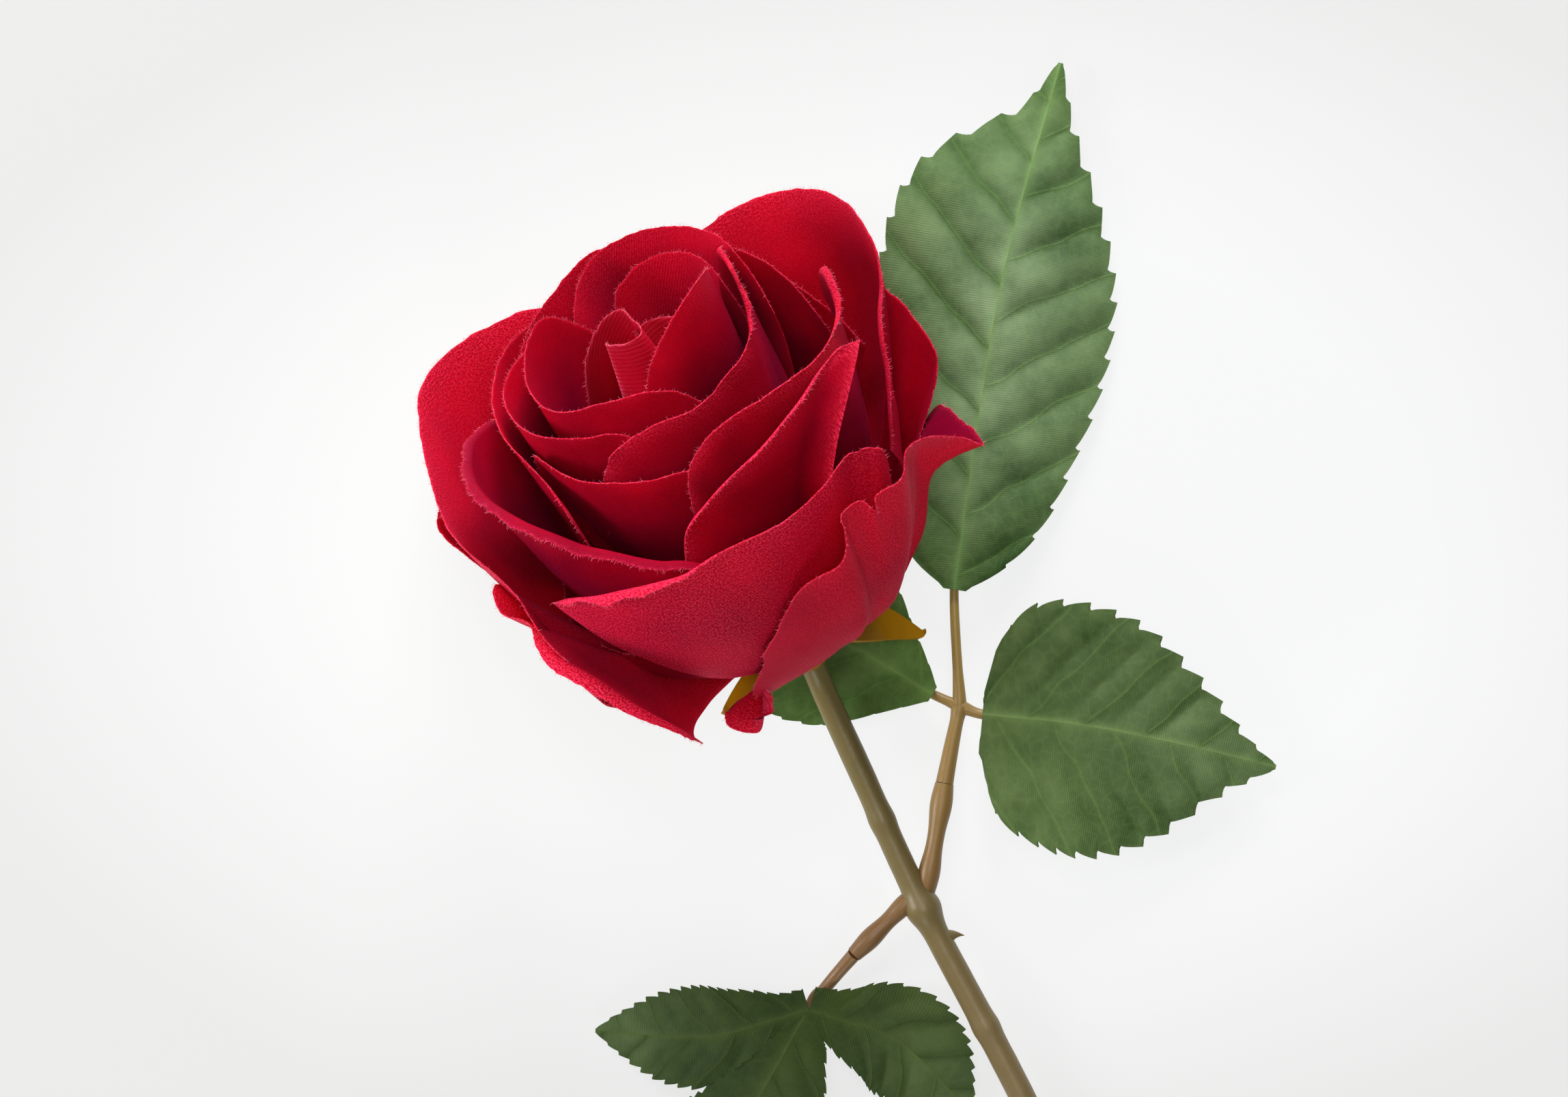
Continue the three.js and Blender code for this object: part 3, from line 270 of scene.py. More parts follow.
PETALS_F = {
    "right": {
        "rim": [(-25, 26, 7.5), (-20, 29.5, 12), (-13, 33, 17.3), (-9, 36, 22), (-3, 39, 26.5),
                (1, 41.5, 30.6), (6, 43.5, 34.2), (10, 44.7, 35.3), (15, 45.7, 35.4), (18, 46, 37.2),
                (20, 46, 40.5), (21, 46, 43.2), (25, 46.2, 43.4), (28, 47, 42.4), (31, 47.4, 41.8),
                (35, 47.6, 41), (38, 47.4, 41.4), (41, 47.2, 43.4), (45, 47.6, 43), (49, 48.8, 41),
                (53, 50.6, 37.4), (56, 52.2, 33), (59, 50.2, 33.6), (62, 48.2, 34.2), (65, 46.2, 35),
                (70, 43.5, 35), (76, 40.5, 32), (85, 35, 24)],
        "lip": [(0, 0.6, 40), (0.2, 0.6, 30), (0.5, 0.4, 20), (1, 0.4, 20)],
        "flare": [(0, 0), (0.62, 0), (0.68, 3), (0.73, 8), (0.78, 11), (0.815, 11), (0.89, 7.5),
                  (0.926, 4.5), (0.963, 2.5), (1, 0)],
        "notch": [(0.475, 3.4)], "nibble": 3, "painted_light": (0.36, 0.2), "belly": (0.55, 0.82),
        # painted shade on the flared end of the rim
        "painted_shade": [(0, 0), (0.76, 0), (0.79, 1), (1, 1)], "taper": (0.4, 0.5),
    },
    "left": {
        "rim": [(276, 40, 40), (281, 41.5, 43), (285, 43, 43), (288, 44, 42.4), (293, 44.7, 42.2),
                (298, 44.3, 42.2), (303, 45, 42), (308, 46.9, 40.5), (311, 47.8, 38.5), (315, 48.2, 35.8),
                (319, 48.6, 32.8), (323, 49, 29.2), (326, 49, 25.8), (329, 48, 21), (329, 45.5, 16.5),
                (328, 43, 13)],
        "lip": [(0, 0.4, 20), (0.38, 0.4, 20), (0.46, 2.2, 70), (0.55, 3, 80), (0.66, 3, 80),
                (0.78, 2.2, 80), (0.87, 1.2, 60), (1, 0.3, 20)],
        "crease": 3, "belly": (0.45, 0.72), "rise": (0.15, 0.5), "taper": (2, 2), "painted_light": (0.25, 1),
    },
    "curl": {
        "rim": [(-41, 22, 4), (-41, 25.5, 4.8), (-40, 27.5, 4.1), (-37, 28, 3), (-32, 28, 1.8),
                (-28.5, 27.5, 1.6), (-25.5, 27, 4), (-22, 27.2, 7.5), (-18.5, 28, 11.5)],
        "lip": [(0, 0.4, 20), (0.5, 0.8, 50), (0.75, 2.2, 110), (1, 1.6, 90)],
        "painted_light": (0.75, 0.5),
    },
    "back_right": {
        "rim": [(129, 41, 14), (137, 46.5, 29), (149, 50.5, 40), (165, 50, 43), (182, 48.5, 38),
                (200, 46, 22)],
        "lip": [(0, 0.5, 25), (1, 0.5, 25)],
    },
    "back_left": {
        "rim": [(178, 46, 18), (193, 48.5, 31), (210, 50, 39.5), (228, 49.8, 43), (240, 48.7, 44.3),
                (248, 48.6, 44.2), (252, 47.4, 42.6), (254, 45.2, 39), (256, 42, 32)],
        "lip": [(0, 0.5, 25), (0.6, 1, 50), (1, 0.5, 25)],
    },
    "collar": {
        "rim": [(turn, 15, 7) for turn in range(0, 361, 90)],
        "taper": (0, 0),
    },
}
WHORLS = {"bud_roll": (13, BUD_ROLL), "petals_a": (11, PETALS_A), "petals_b": (9.3, PETALS_B),
          "petals_c": (7.6, PETALS_C), "petals_d": (5.9, PETALS_D), "petals_e": (4.2, PETALS_E),
          "petals_f": (2.5, PETALS_F)}

# Calyx: the hip's profile as radius and height, and its sepals
HIP_PROFILE = [(0, -7.6), (2.4, -7.6), (3, -7.2), (3.5, -5), (5, -2.6), (6.6, -0.9), (7, 0),
               (6.8, 0.7), (6.2, 0.8), (0, 0.8)]
HIP_SIDES = 48
HIP_LOBES = 5
HIP_LOBE_DEPTH = 0.03
HIP_LEAST_RADIUS = 0.02
PLAIN_SEPAL = {"length": 19, "back": -3, "lift": 3.4, "twist": 0, "width": 3.7, "point": 0.75}
SEPALS = [
    {"azimuth": 89, "length": 20.2, "back": -20.5, "lift": 8, "twist": 62, "width": 8.2, "point": 1.5},
    {"azimuth": 152},
    {"azimuth": 208},
    {"azimuth": 258, "length": 20, "back": -7},
    {"azimuth": 302, "length": 21},
]
SEPAL_FLOOR = 3.4
SEPAL_THICKNESS = 0.8
SEPAL_ROWS, SEPAL_COLUMNS = 40, 13
SEPAL_ROOT = 5
SEPAL_ROOT_DROP = 0.4
SEPAL_CUPPING = 0.9
SEPAL_TIP = 0.15

# Stem, from the flower down, and its thorns: share of its length, and side
STEM_ROUTE = [(3.6, -17.6, 14.2), (5.2, -21, 11.3), (7.6, -26.6, 8.9), (13.5, -39.5, 7.4),
              (25, -64.6, 6.2), (43, -98.9, 4.9), (73, -160, 3.5), (104.5, -224, 2.75)]
STEM_RADIUS_TOP = 2.2
STEM_RADIUS_END = 2.6
STEM_SWELLINGS = [(0.154, 0.25, 0.008), (0.23, 1, 0.012), (0.335, 0.25, 0.008), (0.66, 0.4, 0.01)]
STEM_BUMPS = [(0.07, 9, 2), (0.03, 2.5, 4)]
STEM_ENDS = (0.9, 0.94)
THORNS = [(0.259, -1), (0.55, 1), (0.86, -1)]
THORN_RINGS = 12
THORN_SPAN = 0.002
THORN_HEIGHT = 1.7
THORN_ROOT = 0.5
THORN_SUNK = 0.9
THORN_LEAN = 1.1
THORN_RADIUS = 1.35
THORN_SHARPNESS = 1.15
THORN_TIP = 0.07

# Branches: their routes, and how far under its leaf each stalk runs
UPPER_FORK = (31.6, -28.4, 5)
UPPER_SOCKET = [(25.6, -60.6, 6.2), (27.2, -52, 6.6), (28.8, -42.2, 6.2)]
UPPER_BEND = (30.2, -35, 5.5)
LOWER_SOCKET = [(23.4, -62.2, 6.2), (17.4, -68.2, 5.6), (12.6, -73, 5.2)]
STEM_REACH = 1.6
STALK_RADIUS = 0.95
STALK_THINNING = 0.4
STALK_END_RADIUS = 0.55
STALK_GAP = 0.1
STALK_FOOT = 0.35
STALK_SHARES = {"leaf_terminal": 0.55, "leaf_right": 0.55, "leaf_left": 0.5}

# Leaves: the rib's route, pairs of share and width to its left and right along it, and teeth
LEAF_CLOTH = 0.42
LEAF_CLOTH_CAD = 0.7
LEAF_GAP = 0.3
LEAF_LIFT = 0.05
LEAVES = {
    "leaf_terminal": {
        "rib": [(30.6, -7.4, 6.4), (34.4, 20, 6.2), (39.6, 50.6, 7), (49.9, 87.5, 2.6)],
        "left": [(0, 2), (0.05, 9), (0.15, 13), (0.3, 16.5), (0.5, 21.5), (0.65, 22.5), (0.76, 19),
                 (0.84, 11.4), (0.9, 4.8), (1, 0.4)],
        "right": [(0, 2), (0.05, 9), (0.14, 15), (0.3, 19.5), (0.45, 22), (0.61, 20.6), (0.74, 15),
                  (0.85, 8), (0.92, 4), (1, 0.4)],
        "teeth": 17, "tooth": 1.7, "fold": -0.16, "wave": 0.9, "veins": 8.5, "quilt": 1.6,
    },
    "leaf_right": {
        "rib": [(35.6, -29.8, 7.4), (52, -31.4, 9.4), (71, -35, 9.2), (88.3, -39.3, 5.6)],
        "left": [(0, 4), (0.04, 14.5), (0.17, 21.5), (0.43, 20.5), (0.65, 13.4), (0.85, 5), (1, 0.4)],
        "right": [(0, 7), (0.08, 19), (0.28, 23.6), (0.48, 22.8), (0.66, 17), (0.82, 8), (1, 0.4)],
        "teeth": 13, "tooth": 1.8, "fold": -0.1, "wave": 1, "veins": 6.5, "quilt": 1.0,
    },
    "leaf_left": {
        "rib": [(26.7, -26.2, 5.4), (14, -18.6, 3.4), (2, -11.6, 2), (-10.5, -5, 0.9)],
        "left": [(0, 1.5), (0.1, 6), (0.3, 14.4), (0.42, 17), (0.56, 18), (0.72, 14), (0.87, 6),
                 (1, 0.4)],
        "right": [(0, 1.5), (0.08, 4.6), (0.22, 9.2), (0.37, 14), (0.5, 15), (0.7, 11.5),
                  (0.87, 5.5), (1, 0.4)],
        "teeth": 12, "tooth": 0.7, "fold": -0.09, "wave": 0.5, "veins": 5.5, "quilt": 0.6,
    },
}
LOBE_CENTRE = (4.5, -83, 4)
LOBES = [
    {"tip": (-34, -87, 1.6), "width": 9.5, "bow": 3, "teeth": 18},
    {"tip": (-14, -131, 1.2), "width": 15, "bow": -3, "teeth": 22},
    {"tip": (34, -102, 1.6), "width": 10.5, "bow": 4, "teeth": 18},
]
LOBE_SHAPE = [(0, 0.42), (0.12, 0.5), (0.3, 0.82), (0.5, 1), (0.7, 0.85), (0.88, 0.42), (1, 0.04)]
LOBE_OVERLAP = 0.35
LOBE_STALK = [(9.8, -76.4), (7.2, -79.6), LOBE_CENTRE[:2], (-3, -102)]
LOBE_STALK_RADIUS = 1.2
LOBE_STALK_RISE = 3
LOBE_STALK_DROP = 0.4

# A leaf's points across each half, and how they crowd outward; teeth only bite past EDGE_START
LEAF_HALF_COLUMNS = 24
LOBE_HALF_COLUMNS = 16
COLUMN_CROWDING = 0.85
TOOTH_STEPS = np.array([0, 0.16, 0.32, 0.48, 0.62, 0.72, 0.78, 0.86, 0.93])
TOOTH_RISE, TOOTH_FALL = 0.78, 0.22
EDGE_START, EDGE_SPAN = 0.72, 0.28
FULL_TOOTH_WIDTH = 7
BITE_SHARE, LEAN_SHARE = 0.75, 0.5

# Quilting: how the swellings between veins lean, sit across the rib, and fade at rib and edge
QUILT_LEAN = 0.75
QUILT_SHIFT = 2.2
QUILT_FROM_RIB = 4
QUILT_FROM_EDGE = 3
QUILT_TOP = 0.55
QUILT_DEPTH = 0.8
CRUMPLE_DEPTH, CRUMPLE_LENGTH = 0.35, 8

rng = np.random.default_rng(7)


# Curves and noise
def catmull(points, shares):
    """Points of a smooth curve through the given ones, at shares of its parameter."""
    p = np.asarray(points, float)
    ends = np.vstack([2 * p[0] - p[1], p, 2 * p[-1] - p[-2]])
    u = np.clip(np.asarray(shares, float), 0, 1) * (len(p) - 1)
    i = np.minimum(u.astype(int), len(p) - 2)
    w = (u - i)[:, None]
    a, b, c, d = ends[i], ends[i + 1], ends[i + 2], ends[i + 3]
    m0, m1 = 0.5 * (c - a), 0.5 * (d - b)
    return (2 * b - 2 * c + m0 + m1) * w**3 + (-3 * b + 3 * c - 2 * m0 - m1) * w**2 + m0 * w + b


def lengths_along(points, axis=0):
    """Running length along the rows of a grid of points, or along its columns."""
    steps = np.linalg.norm(np.diff(points, axis=axis), axis=-1)
    start = np.zeros_like(np.take(steps, [0], axis=axis))
    return np.concatenate([start, np.cumsum(steps, axis=axis)], axis=axis)


def catmull_by_length(points, shares):
    """The same curve at shares of its length."""
    fine = catmull(points, np.linspace(0, 1, 1200))
    run = lengths_along(fine)
    wanted = np.asarray(shares, float) * run[-1]
    return np.stack([np.interp(wanted, run, fine[:, k]) for k in range(3)], axis=1)


def ripple(points, size, seed):
    """Smooth noise between -1 and 1 at each point, with features of about the given size."""
    flat = np.asarray(points, float).reshape(-1, 3) / size + seed * NOISE_SEED_STEP
    values = np.array([noise.noise(Vector(p)) for p in flat])
    return values.reshape(np.asarray(points).shape[:-1])


def folds(points, kind, seed):
    """Ripples of a kind, which is their depth and length."""
    depth, length = kind
    return depth * ripple(points, length, seed)


def bell(t, centre, width):
    """A smooth rise to one at the centre."""
    return np.exp(-(((t - centre) / width) ** 2))


def unit(vectors):
    return vectors / np.maximum(np.linalg.norm(vectors, axis=-1, keepdims=True), 1e-9)


def sense(vectors, wanted):
    """1 where the vectors point the wanted way on the whole, and -1 where they point against it."""
    return -1 if np.sum(vectors * wanted) < 0 else 1


def soft_floor(z, floor):
    """Heights kept above a floor, with a soft bend where they come near it."""
    above = z - floor
    return floor + 0.5 * (above + np.sqrt(above * above + FLOOR_SOFTNESS * FLOOR_SOFTNESS))


def along(pairs, shares):
    """Values at shares of a length, from a list of (share, value)."""
    return np.interp(shares, [pair[0] for pair in pairs], [pair[1] for pair in pairs])


def bloom_point(azimuth, radius, height):
    """Points from degrees round the flower's axis, distance from it and height along it."""
    angle = np.radians(azimuth)
    radius = np.asarray(radius, float)
    height = np.asarray(height, float)
    return (BLOOM_BASE + height[..., None] * BLOOM_AXIS
            + (radius * np.cos(angle))[..., None] * BLOOM_UP
            + (radius * np.sin(angle))[..., None] * BLOOM_RIGHT)


# Meshes
def grid_normals(grid):
    return unit(np.cross(np.gradient(grid, axis=0), np.gradient(grid, axis=1)))


def new_mesh(name, points, edges, faces):
    """A mesh from points in millimetres on the plan."""
    data = bpy.data.meshes.new(name)
    data.from_pydata(((points + PLAN_ZERO) * MM).tolist(), edges, faces)
    return data


def new_object(name, data):
    made = bpy.data.objects.new(name, data)
    bpy.context.scene.collection.objects.link(made)
    return made


def surface_object(name, data, material, sharp):
    """An object with a material and no unused point, smooth but for edges sharper than given."""
    mesh = bmesh.new()
    mesh.from_mesh(data)
    loose = [v for v in mesh.verts if not v.link_faces]
    bmesh.ops.delete(mesh, geom=loose, context="VERTS")
    bmesh.ops.recalc_face_normals(mesh, faces=mesh.faces)
    mesh.to_mesh(data)
    mesh.free()
    data.materials.append(material)
    data.shade_smooth()
    data.set_sharp_from_angle(angle=math.radians(sharp))
    return new_object(name, data)


class Sheets:
    """Collects closed cloth blades, with their cloth coordinates, for one object."""

    def __init__(self):
        self.points, self.faces, self.uvs, self.rim, self.painted_light = [], [], [], [], []
        self.count = 0

    def blade(self, grid, normals, thickness, uv=0, rim=0, painted_light=0, keep=None):
        """Adds a blade on both sides of a grid. Keep says which of the grid's squares are made."""
        rows, columns = grid.shape[:2]
        total = rows * columns
        for sign in (1, -1):
            self.points.append((grid + sign * thickness / 2 * normals).reshape(-1, 3))
            self.uvs.append(np.broadcast_to(uv, (rows, columns, 2)).reshape(-1, 2))
            self.rim.append(np.broadcast_to(rim, (rows, columns)).ravel())
            self.painted_light.append(np.broadcast_to(painted_light, (rows, columns)).ravel())
        corner = np.arange(total).reshape(rows, columns)
        quads = np.stack([corner[:-1, :-1], corner[:-1, 1:], corner[1:, 1:], corner[1:, :-1]], axis=-1)
        chosen = quads.reshape(-1, 4) if keep is None else quads[keep]
        edges = dict.fromkeys((quad[k], quad[(k + 1) % 4]) for quad in chosen.tolist() for k in range(4))
        walls = [(p, q, q + total, p + total) for p, q in edges if (q, p) not in edges]
        for faces in (chosen[:, ::-1], chosen + total, np.array(walls)):
            self.faces.append(faces + self.count)
        self.count += 2 * total

    def mesh(self, name, material):
        data = new_mesh(name, np.vstack(self.points), [], np.vstack(self.faces).tolist())
        data.validate()
        used = np.zeros(len(data.loops), np.int32)
        data.loops.foreach_get("vertex_index", used)
        layer = data.uv_layers.new(name="cloth")
        layer.data.foreach_set("uv", (np.vstack(self.uvs) * MM)[used].ravel().astype(np.float32))
        # Distance to the rim, and painted light: painted sheen above zero, painted shade below
        for label, values in (("rim", self.rim), ("painted_light", self.painted_light)):
            attribute = data.attributes.new(label, "FLOAT", "POINT")
            attribute.data.foreach_set("value", np.concatenate(values).astype(np.float32))
        return surface_object(name, data, material, CLOTH_SHARP)


class Rods:
    """Collects closed rods and cones for one moulded object."""

    def __init__(self):
        self.points, self.faces, self.count = [], [], 0

    def body(self, rings):
        """Adds a body whose skin runs from ring to ring of points, closed at both ends."""
        steps, sides = rings.shape[:2]
        corner = np.arange(steps * sides).reshape(steps, sides) + self.count
        beside = np.roll(corner, -1, axis=1)
        quads = np.stack([corner[:-1], beside[:-1], beside[1:], corner[1:]], axis=-1).reshape(-1, 4)
        self.points.append(rings.reshape(-1, 3))
        self.faces += quads.tolist()
        self.faces.append(corner[0][::-1].tolist())
        self.faces.append(corner[-1].tolist())
        self.count += steps * sides

    def rod(self, path, radii, sides):
        """Adds a rod round a path, with a radius at each of its points."""
        path = np.asarray(path, float)
        tangent = unit(np.gradient(path, axis=0))
        sideways = unit(np.cross(tangent, UPWARD))
        over = np.cross(sideways, tangent)
        angle = np.linspace(0, 2 * np.pi, sides, endpoint=False)
        ring = (np.sin(angle)[None, :, None] * sideways[:, None, :]
                - np.cos(angle)[None, :, None] * over[:, None, :])
        self.body(path[:, None, :] + np.asarray(radii)[:, None, None] * ring)

    def swollen(self, route, steps, radii, swellings, bumps, sides, ends=(1, 1)):
        """Adds a rod along a route. Radii: the radius at its start, and how much it gains to its end.

        Swellings: share of its length, rise and width. Bumps: depth, length and seed."""
        t = np.linspace(0, 1, steps)
        path = catmull_by_length(route, t)
        radius = radii[0] + radii[1] * t
        for at, rise, width in swellings:
            radius = radius + rise * bell(t, at, width)
        for depth, length, seed in bumps:
            radius = radius + depth * ripple(path, length, seed)
        radius[0] *= ends[0]
        radius[-1] *= ends[1]
        self.rod(path, radius, sides)

    def mesh(self, name, material):
        data = new_mesh(name, np.vstack(self.points), [], self.faces)
        return surface_object(name, data, material, ROD_SHARP)


def finish_piece(piece, slot, *nodes):
    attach(piece, "root")
    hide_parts(*nodes)


# Petals
def away_from_axis(grid):
    """Unit directions from the flower's axis to each point."""
    offset = grid - BLOOM_BASE
    return unit(offset - (offset @ BLOOM_AXIS)[..., None] * BLOOM_AXIS)


def petal_blade(spec, foot, rim, shares):
    """The petal's middle surface from its foot to its rim, and how far up it each row is."""
    first, last = spec["rim"][0][0], spec["rim"][-1][0]
    middle = (first + last) / 2
    flare = along(spec["flare"], shares)
    t = np.linspace(0, 1, PETAL_ROWS + 1)[:, None]
    t = 1 - (1 - t) ** ROW_CROWDING
    near_foot, near_rim, at_rim = 3 * t * (1 - t) ** 2, 3 * t * t * (1 - t), t**3
    low, high = spec["belly"]
    first_rise, second_rise = spec["rise"]
    outward = low * near_foot + high * near_rim + at_rim
    upward = first_rise * near_foot + second_rise * near_rim + at_rim
    radius = FOOT_RADIUS + (rim[:, 1] - flare - FOOT_RADIUS) * outward
    radius = radius + spec["swell"] * 4 * t * (1 - t) + flare * t**FLARE_POWER
    height = foot + (rim[:, 2] - foot) * upward
    for at, depth in spec["notch"]:
        height = height - depth * bell(shares, at, NOTCH_WIDTH) * t**NOTCH_POWER
    tapers = spec["taper"][::-1] if first > last else spec["taper"]
    power = np.where(rim[:, 0] < middle, tapers[0], tapers[1])
    spread = FOOT_SPREAD + (1 - FOOT_SPREAD) * t**power
    azimuth = middle + (rim[:, 0] - middle) * spread
    return bloom_point(azimuth, radius, height), t


def pleats(grid, seed):
    """Long soft creases that run from the foot to the rim."""
    offset = grid - BLOOM_BASE
    height = offset @ BLOOM_AXIS
    radial = offset - height[..., None] * BLOOM_AXIS
    drawn_out = radial / PLEAT_SPACING + height[..., None] / PLEAT_LENGTH * BLOOM_AXIS
    return PLEAT_DEPTH * ripple(drawn_out, 1, seed)


def petal_folds(grid, t, seed):
    """How far each point of a petal is moved out of its smooth surface."""
    inside = folds(grid, BROAD_FOLD, seed) + folds(grid, SMALL_FOLD, seed + 3)
    by_rim = folds(grid, RIM_FOLD, seed + 5)
    return inside * np.sin(np.pi * t**1.5) + by_rim * t**3 + pleats(grid, seed + 8) * np.sin(np.pi * t**1.2)


def lip_widths(spec, shares, run, from_ends, seed):
    """Width of the lip along the rim, without and with the roughness of its cut edge."""
    ends = np.clip(from_ends / LIP_END, LIP_END_SHARE, 1)
    width = along([(at, wide) for at, wide, _ in spec["lip"]], shares) * ends
    line = np.stack([run, np.full_like(run, seed * EDGE_SEED_STEP), np.zeros_like(run)], axis=1)
    cut = spec["nibble"] * ends * (folds(line, COARSE_NIBBLE, 1) + folds(line, FINE_NIBBLE, 2))
    cut += LOOSE_FIBRES * rng.standard_normal(len(run))
    return width, np.maximum(width + cut, LIP_LEAST)


def rolled_lip(spec, grid, shares, widths):
    """Rows of points that go on from the rim along an arc, square to the rim."""
    width, length = widths
    turn = np.radians(along([(at, angle) for at, _, angle in spec["lip"]], shares))
    rim = grid[-1]
    normal = grid_normals(grid)[-1]
    normal = normal * np.sign(np.sum(normal * away_from_axis(rim), axis=1, keepdims=True))
    onward = np.cross(np.gradient(rim, axis=0), normal)
    onward = unit(onward * sense(onward, rim - grid[-3]))
    for _ in range(2):
        onward[1:-1] = unit(onward[:-2] + 2 * onward[1:-1] + onward[2:])
    rows = [rim]
    for k in range(LIP_ROWS):
        turned = 1 - (1 - (k + 0.5) / LIP_ROWS) ** spec["crease"]
        angle = (turn * turned * length / width)[:, None]
        step = (length / LIP_ROWS)[:, None]
        rows.append(rows[-1] + step * (np.cos(angle) * onward + np.sin(angle) * normal))
    return np.array(rows[1:])


def petal_painted_light(spec, shares, to_rim):
    """Painted light on each point: above zero painted sheen, which makes it paler; below zero painted shade,
    which makes it duller.
    """
    overall, near_edge = spec["painted_light"]
    painted_light = overall + near_edge * np.exp(-to_rim / spec["border"])
    painted_shade = along(spec["painted_shade"], shares)
    return (painted_light + along(spec["painted_highlight"], shares)) * (1 - painted_shade) - painted_shade


def petal(spec, foot, floor, seed):
    """Grid, normals, cloth coordinates, distance to the rim and painted light (sheen and shade) of one
    petal.
    """
    spec = {**PLAIN_PETAL, **spec}
    shares = np.linspace(0, 1, PETAL_COLUMNS + 1)
    rim = catmull(spec["rim"], shares)
    grid, t = petal_blade(spec, foot, rim, shares)
    normals = grid_normals(grid)
    normals = normals * sense(normals, away_from_axis(grid))
    grid = grid + petal_folds(grid, t, seed)[..., None] * normals
    run = lengths_along(grid[-1])
    from_ends = np.minimum(run, run[-1] - run)
    widths = lip_widths(spec, shares, run, from_ends, seed)
    grid = np.concatenate([grid, rolled_lip(spec, grid, shares, widths)], axis=0)
    grid[..., 2] = soft_floor(grid[..., 2], floor)
    normals = grid_normals(grid)
    normals = normals * sense(normals[:PETAL_ROWS], away_from_axis(grid[:PETAL_ROWS]))
    up, side = lengths_along(grid), lengths_along(grid, 1)
    side = side - side[:, [side.shape[1] // 2]]
    to_rim = np.minimum(up[-1] - up, RIM_DISTANCE_AT_ENDS + from_ends[None, :])
    return grid, normals, np.stack([side, up], axis=-1), to_rim, petal_painted_light(spec, shares, to_rim)


def whorl_piece(name, whorl, layer, material):
    """One whorl's cloth, and its rims as (points, directions away from the cloth)."""
    sheets = Sheets()
    foot, petals = whorl
    floor = TABLE_GAP + FLOOR_LAYER_STEP * (len(WHORLS) - 1 - layer)
    rims = []
    for k, spec in enumerate(petals.values()):
        stagger = FOOT_STAGGER * ((k % 2) - 0.5)
        grid, normals, uv, to_rim, painted_light = petal(spec, foot + stagger, floor, layer * SEEDS_A_WHORL + k)
        sheets.blade(grid, normals, CLOTH, uv, to_rim, painted_light)
        rims.append((grid[-1], unit(grid[-1] - grid[-2])))
    return sheets.mesh(name, material), rims


# Node trees
def feed(socket, value):
    """Links an output to an input, or sets the input to a number, colour, vector or material."""
    if isinstance(value, Value):
        value = value.socket
    if isinstance(value, bpy.types.NodeSocket):
        socket.id_data.links.new(value, socket)
    elif socket.type == "RGBA":
        socket.default_value = (*value, 1)
    else:
        socket.default_value = value


def new_node(tree, kind, inputs, **settings):
    """Adds a node, sets its properties, then feeds its inputs, given by name or number."""
    node = tree.nodes.new(kind)
    for name, setting in settings.items():
        setattr(node, name, setting)
    for key, value in inputs.items():
        feed(node.inputs[key], value)
    return node


class Value:
    """An output in a node tree. Arithmetic with it adds the nodes that work it out."""

    def __init__(self, socket):
        self.socket = socket
        self.tree = socket.id_data

    def maths(self, operation, *others):
        inputs = dict(enumerate((self, *others)))
        return Value(new_node(self.tree, "ShaderNodeMath", inputs, operation=operation).outputs[0])

    def __add__(self, other):
        return self.maths("ADD", other)

    def __sub__(self, other):
        return self.maths("SUBTRACT", other)

    def __mul__(self, other):
        return self.maths("MULTIPLY", other)

    def __truediv__(self, other):
        return self.maths("DIVIDE", other)

    def __abs__(self):
        return self.maths("ABSOLUTE")


def parts(vector):
    """The three numbers of a vector."""
    node = new_node(vector.tree, "ShaderNodeSeparateXYZ", {0: vector})
    return [Value(output) for output in node.outputs]


def vector_maths(operation, first, *others):
    inputs = dict(enumerate((first, *others)))
    return new_node(first.tree, "ShaderNodeVectorMath", inputs, operation=operation)


# Loose threads
def random_value(entry, kind, low, high):
    """A random vector or number for each thread. The node's vector sockets come before its numbers."""
    first = {"FLOAT_VECTOR": 0, "FLOAT": 2}[kind]
    inputs = {first: low, first + 1: high, "Seed": entry.outputs["Seed"]}
    node = new_node(entry.id_data, "FunctionNodeRandomValue", inputs, data_type=kind)
    return Value(node.outputs[first // 2])


def threads_tree(material):
    """Geometry nodes: loose threads along a cut edge, standing out from it."""
    tree = bpy.data.node_groups.new("loose threads", "GeometryNodeTree")
    interface = tree.interface
    interface.new_socket("Geometry", in_out="INPUT", socket_type="NodeSocketGeometry")
    for label, default in THREAD_VALUES.items():
        kind = "NodeSocketInt" if label == "Seed" else "NodeSocketFloat"
        interface.new_socket(label, in_out="INPUT", socket_type=kind).default_value = default
    interface.new_socket("Geometry", in_out="OUTPUT", socket_type="NodeSocketGeometry")
    entry = tree.nodes.new("NodeGroupInput")
    given = entry.outputs
    curve = new_node(tree, "GeometryNodeMeshToCurve", {0: given["Geometry"]})
    spaced = new_node(tree, "GeometryNodeResampleCurve",
                      {"Curve": curve.outputs[0], "Length": given["Spacing"]}, mode="LENGTH")
    away = new_node(tree, "GeometryNodeInputNamedAttribute", {"Name": "away"}, data_type="FLOAT_VECTOR")
    scatter = random_value(entry, "FLOAT_VECTOR", (-THREAD_SCATTER,) * 3, (THREAD_SCATTER,) * 3)
    leaning = vector_maths("ADD", Value(away.outputs[0]), scatter)
    aim = new_node(tree, "FunctionNodeAlignRotationToVector", {"Vector": leaning.outputs[0]}, axis="Z")
    thread = new_node(tree, "GeometryNodeMeshCone", {
        "Vertices": THREAD_SIDES, "Radius Top": THREAD_TIP,
        "Radius Bottom": given["Radius"], "Depth": given["Length"],
    })
    placed = new_node(tree, "GeometryNodeInstanceOnPoints", {
        "Points": spaced.outputs[0], "Instance": thread.outputs["Mesh"],
        "Rotation": aim.outputs[0], "Scale": random_value(entry, "FLOAT", *THREAD_SCALES),
    })
    real = new_node(tree, "GeometryNodeRealizeInstances", {0: placed.outputs[0]})
    painted = new_node(tree, "GeometryNodeSetMaterial", {"Geometry": real.outputs[0], "Material": material})
    new_node(tree, "NodeGroupOutput", {0: painted.outputs[0]})
    return tree


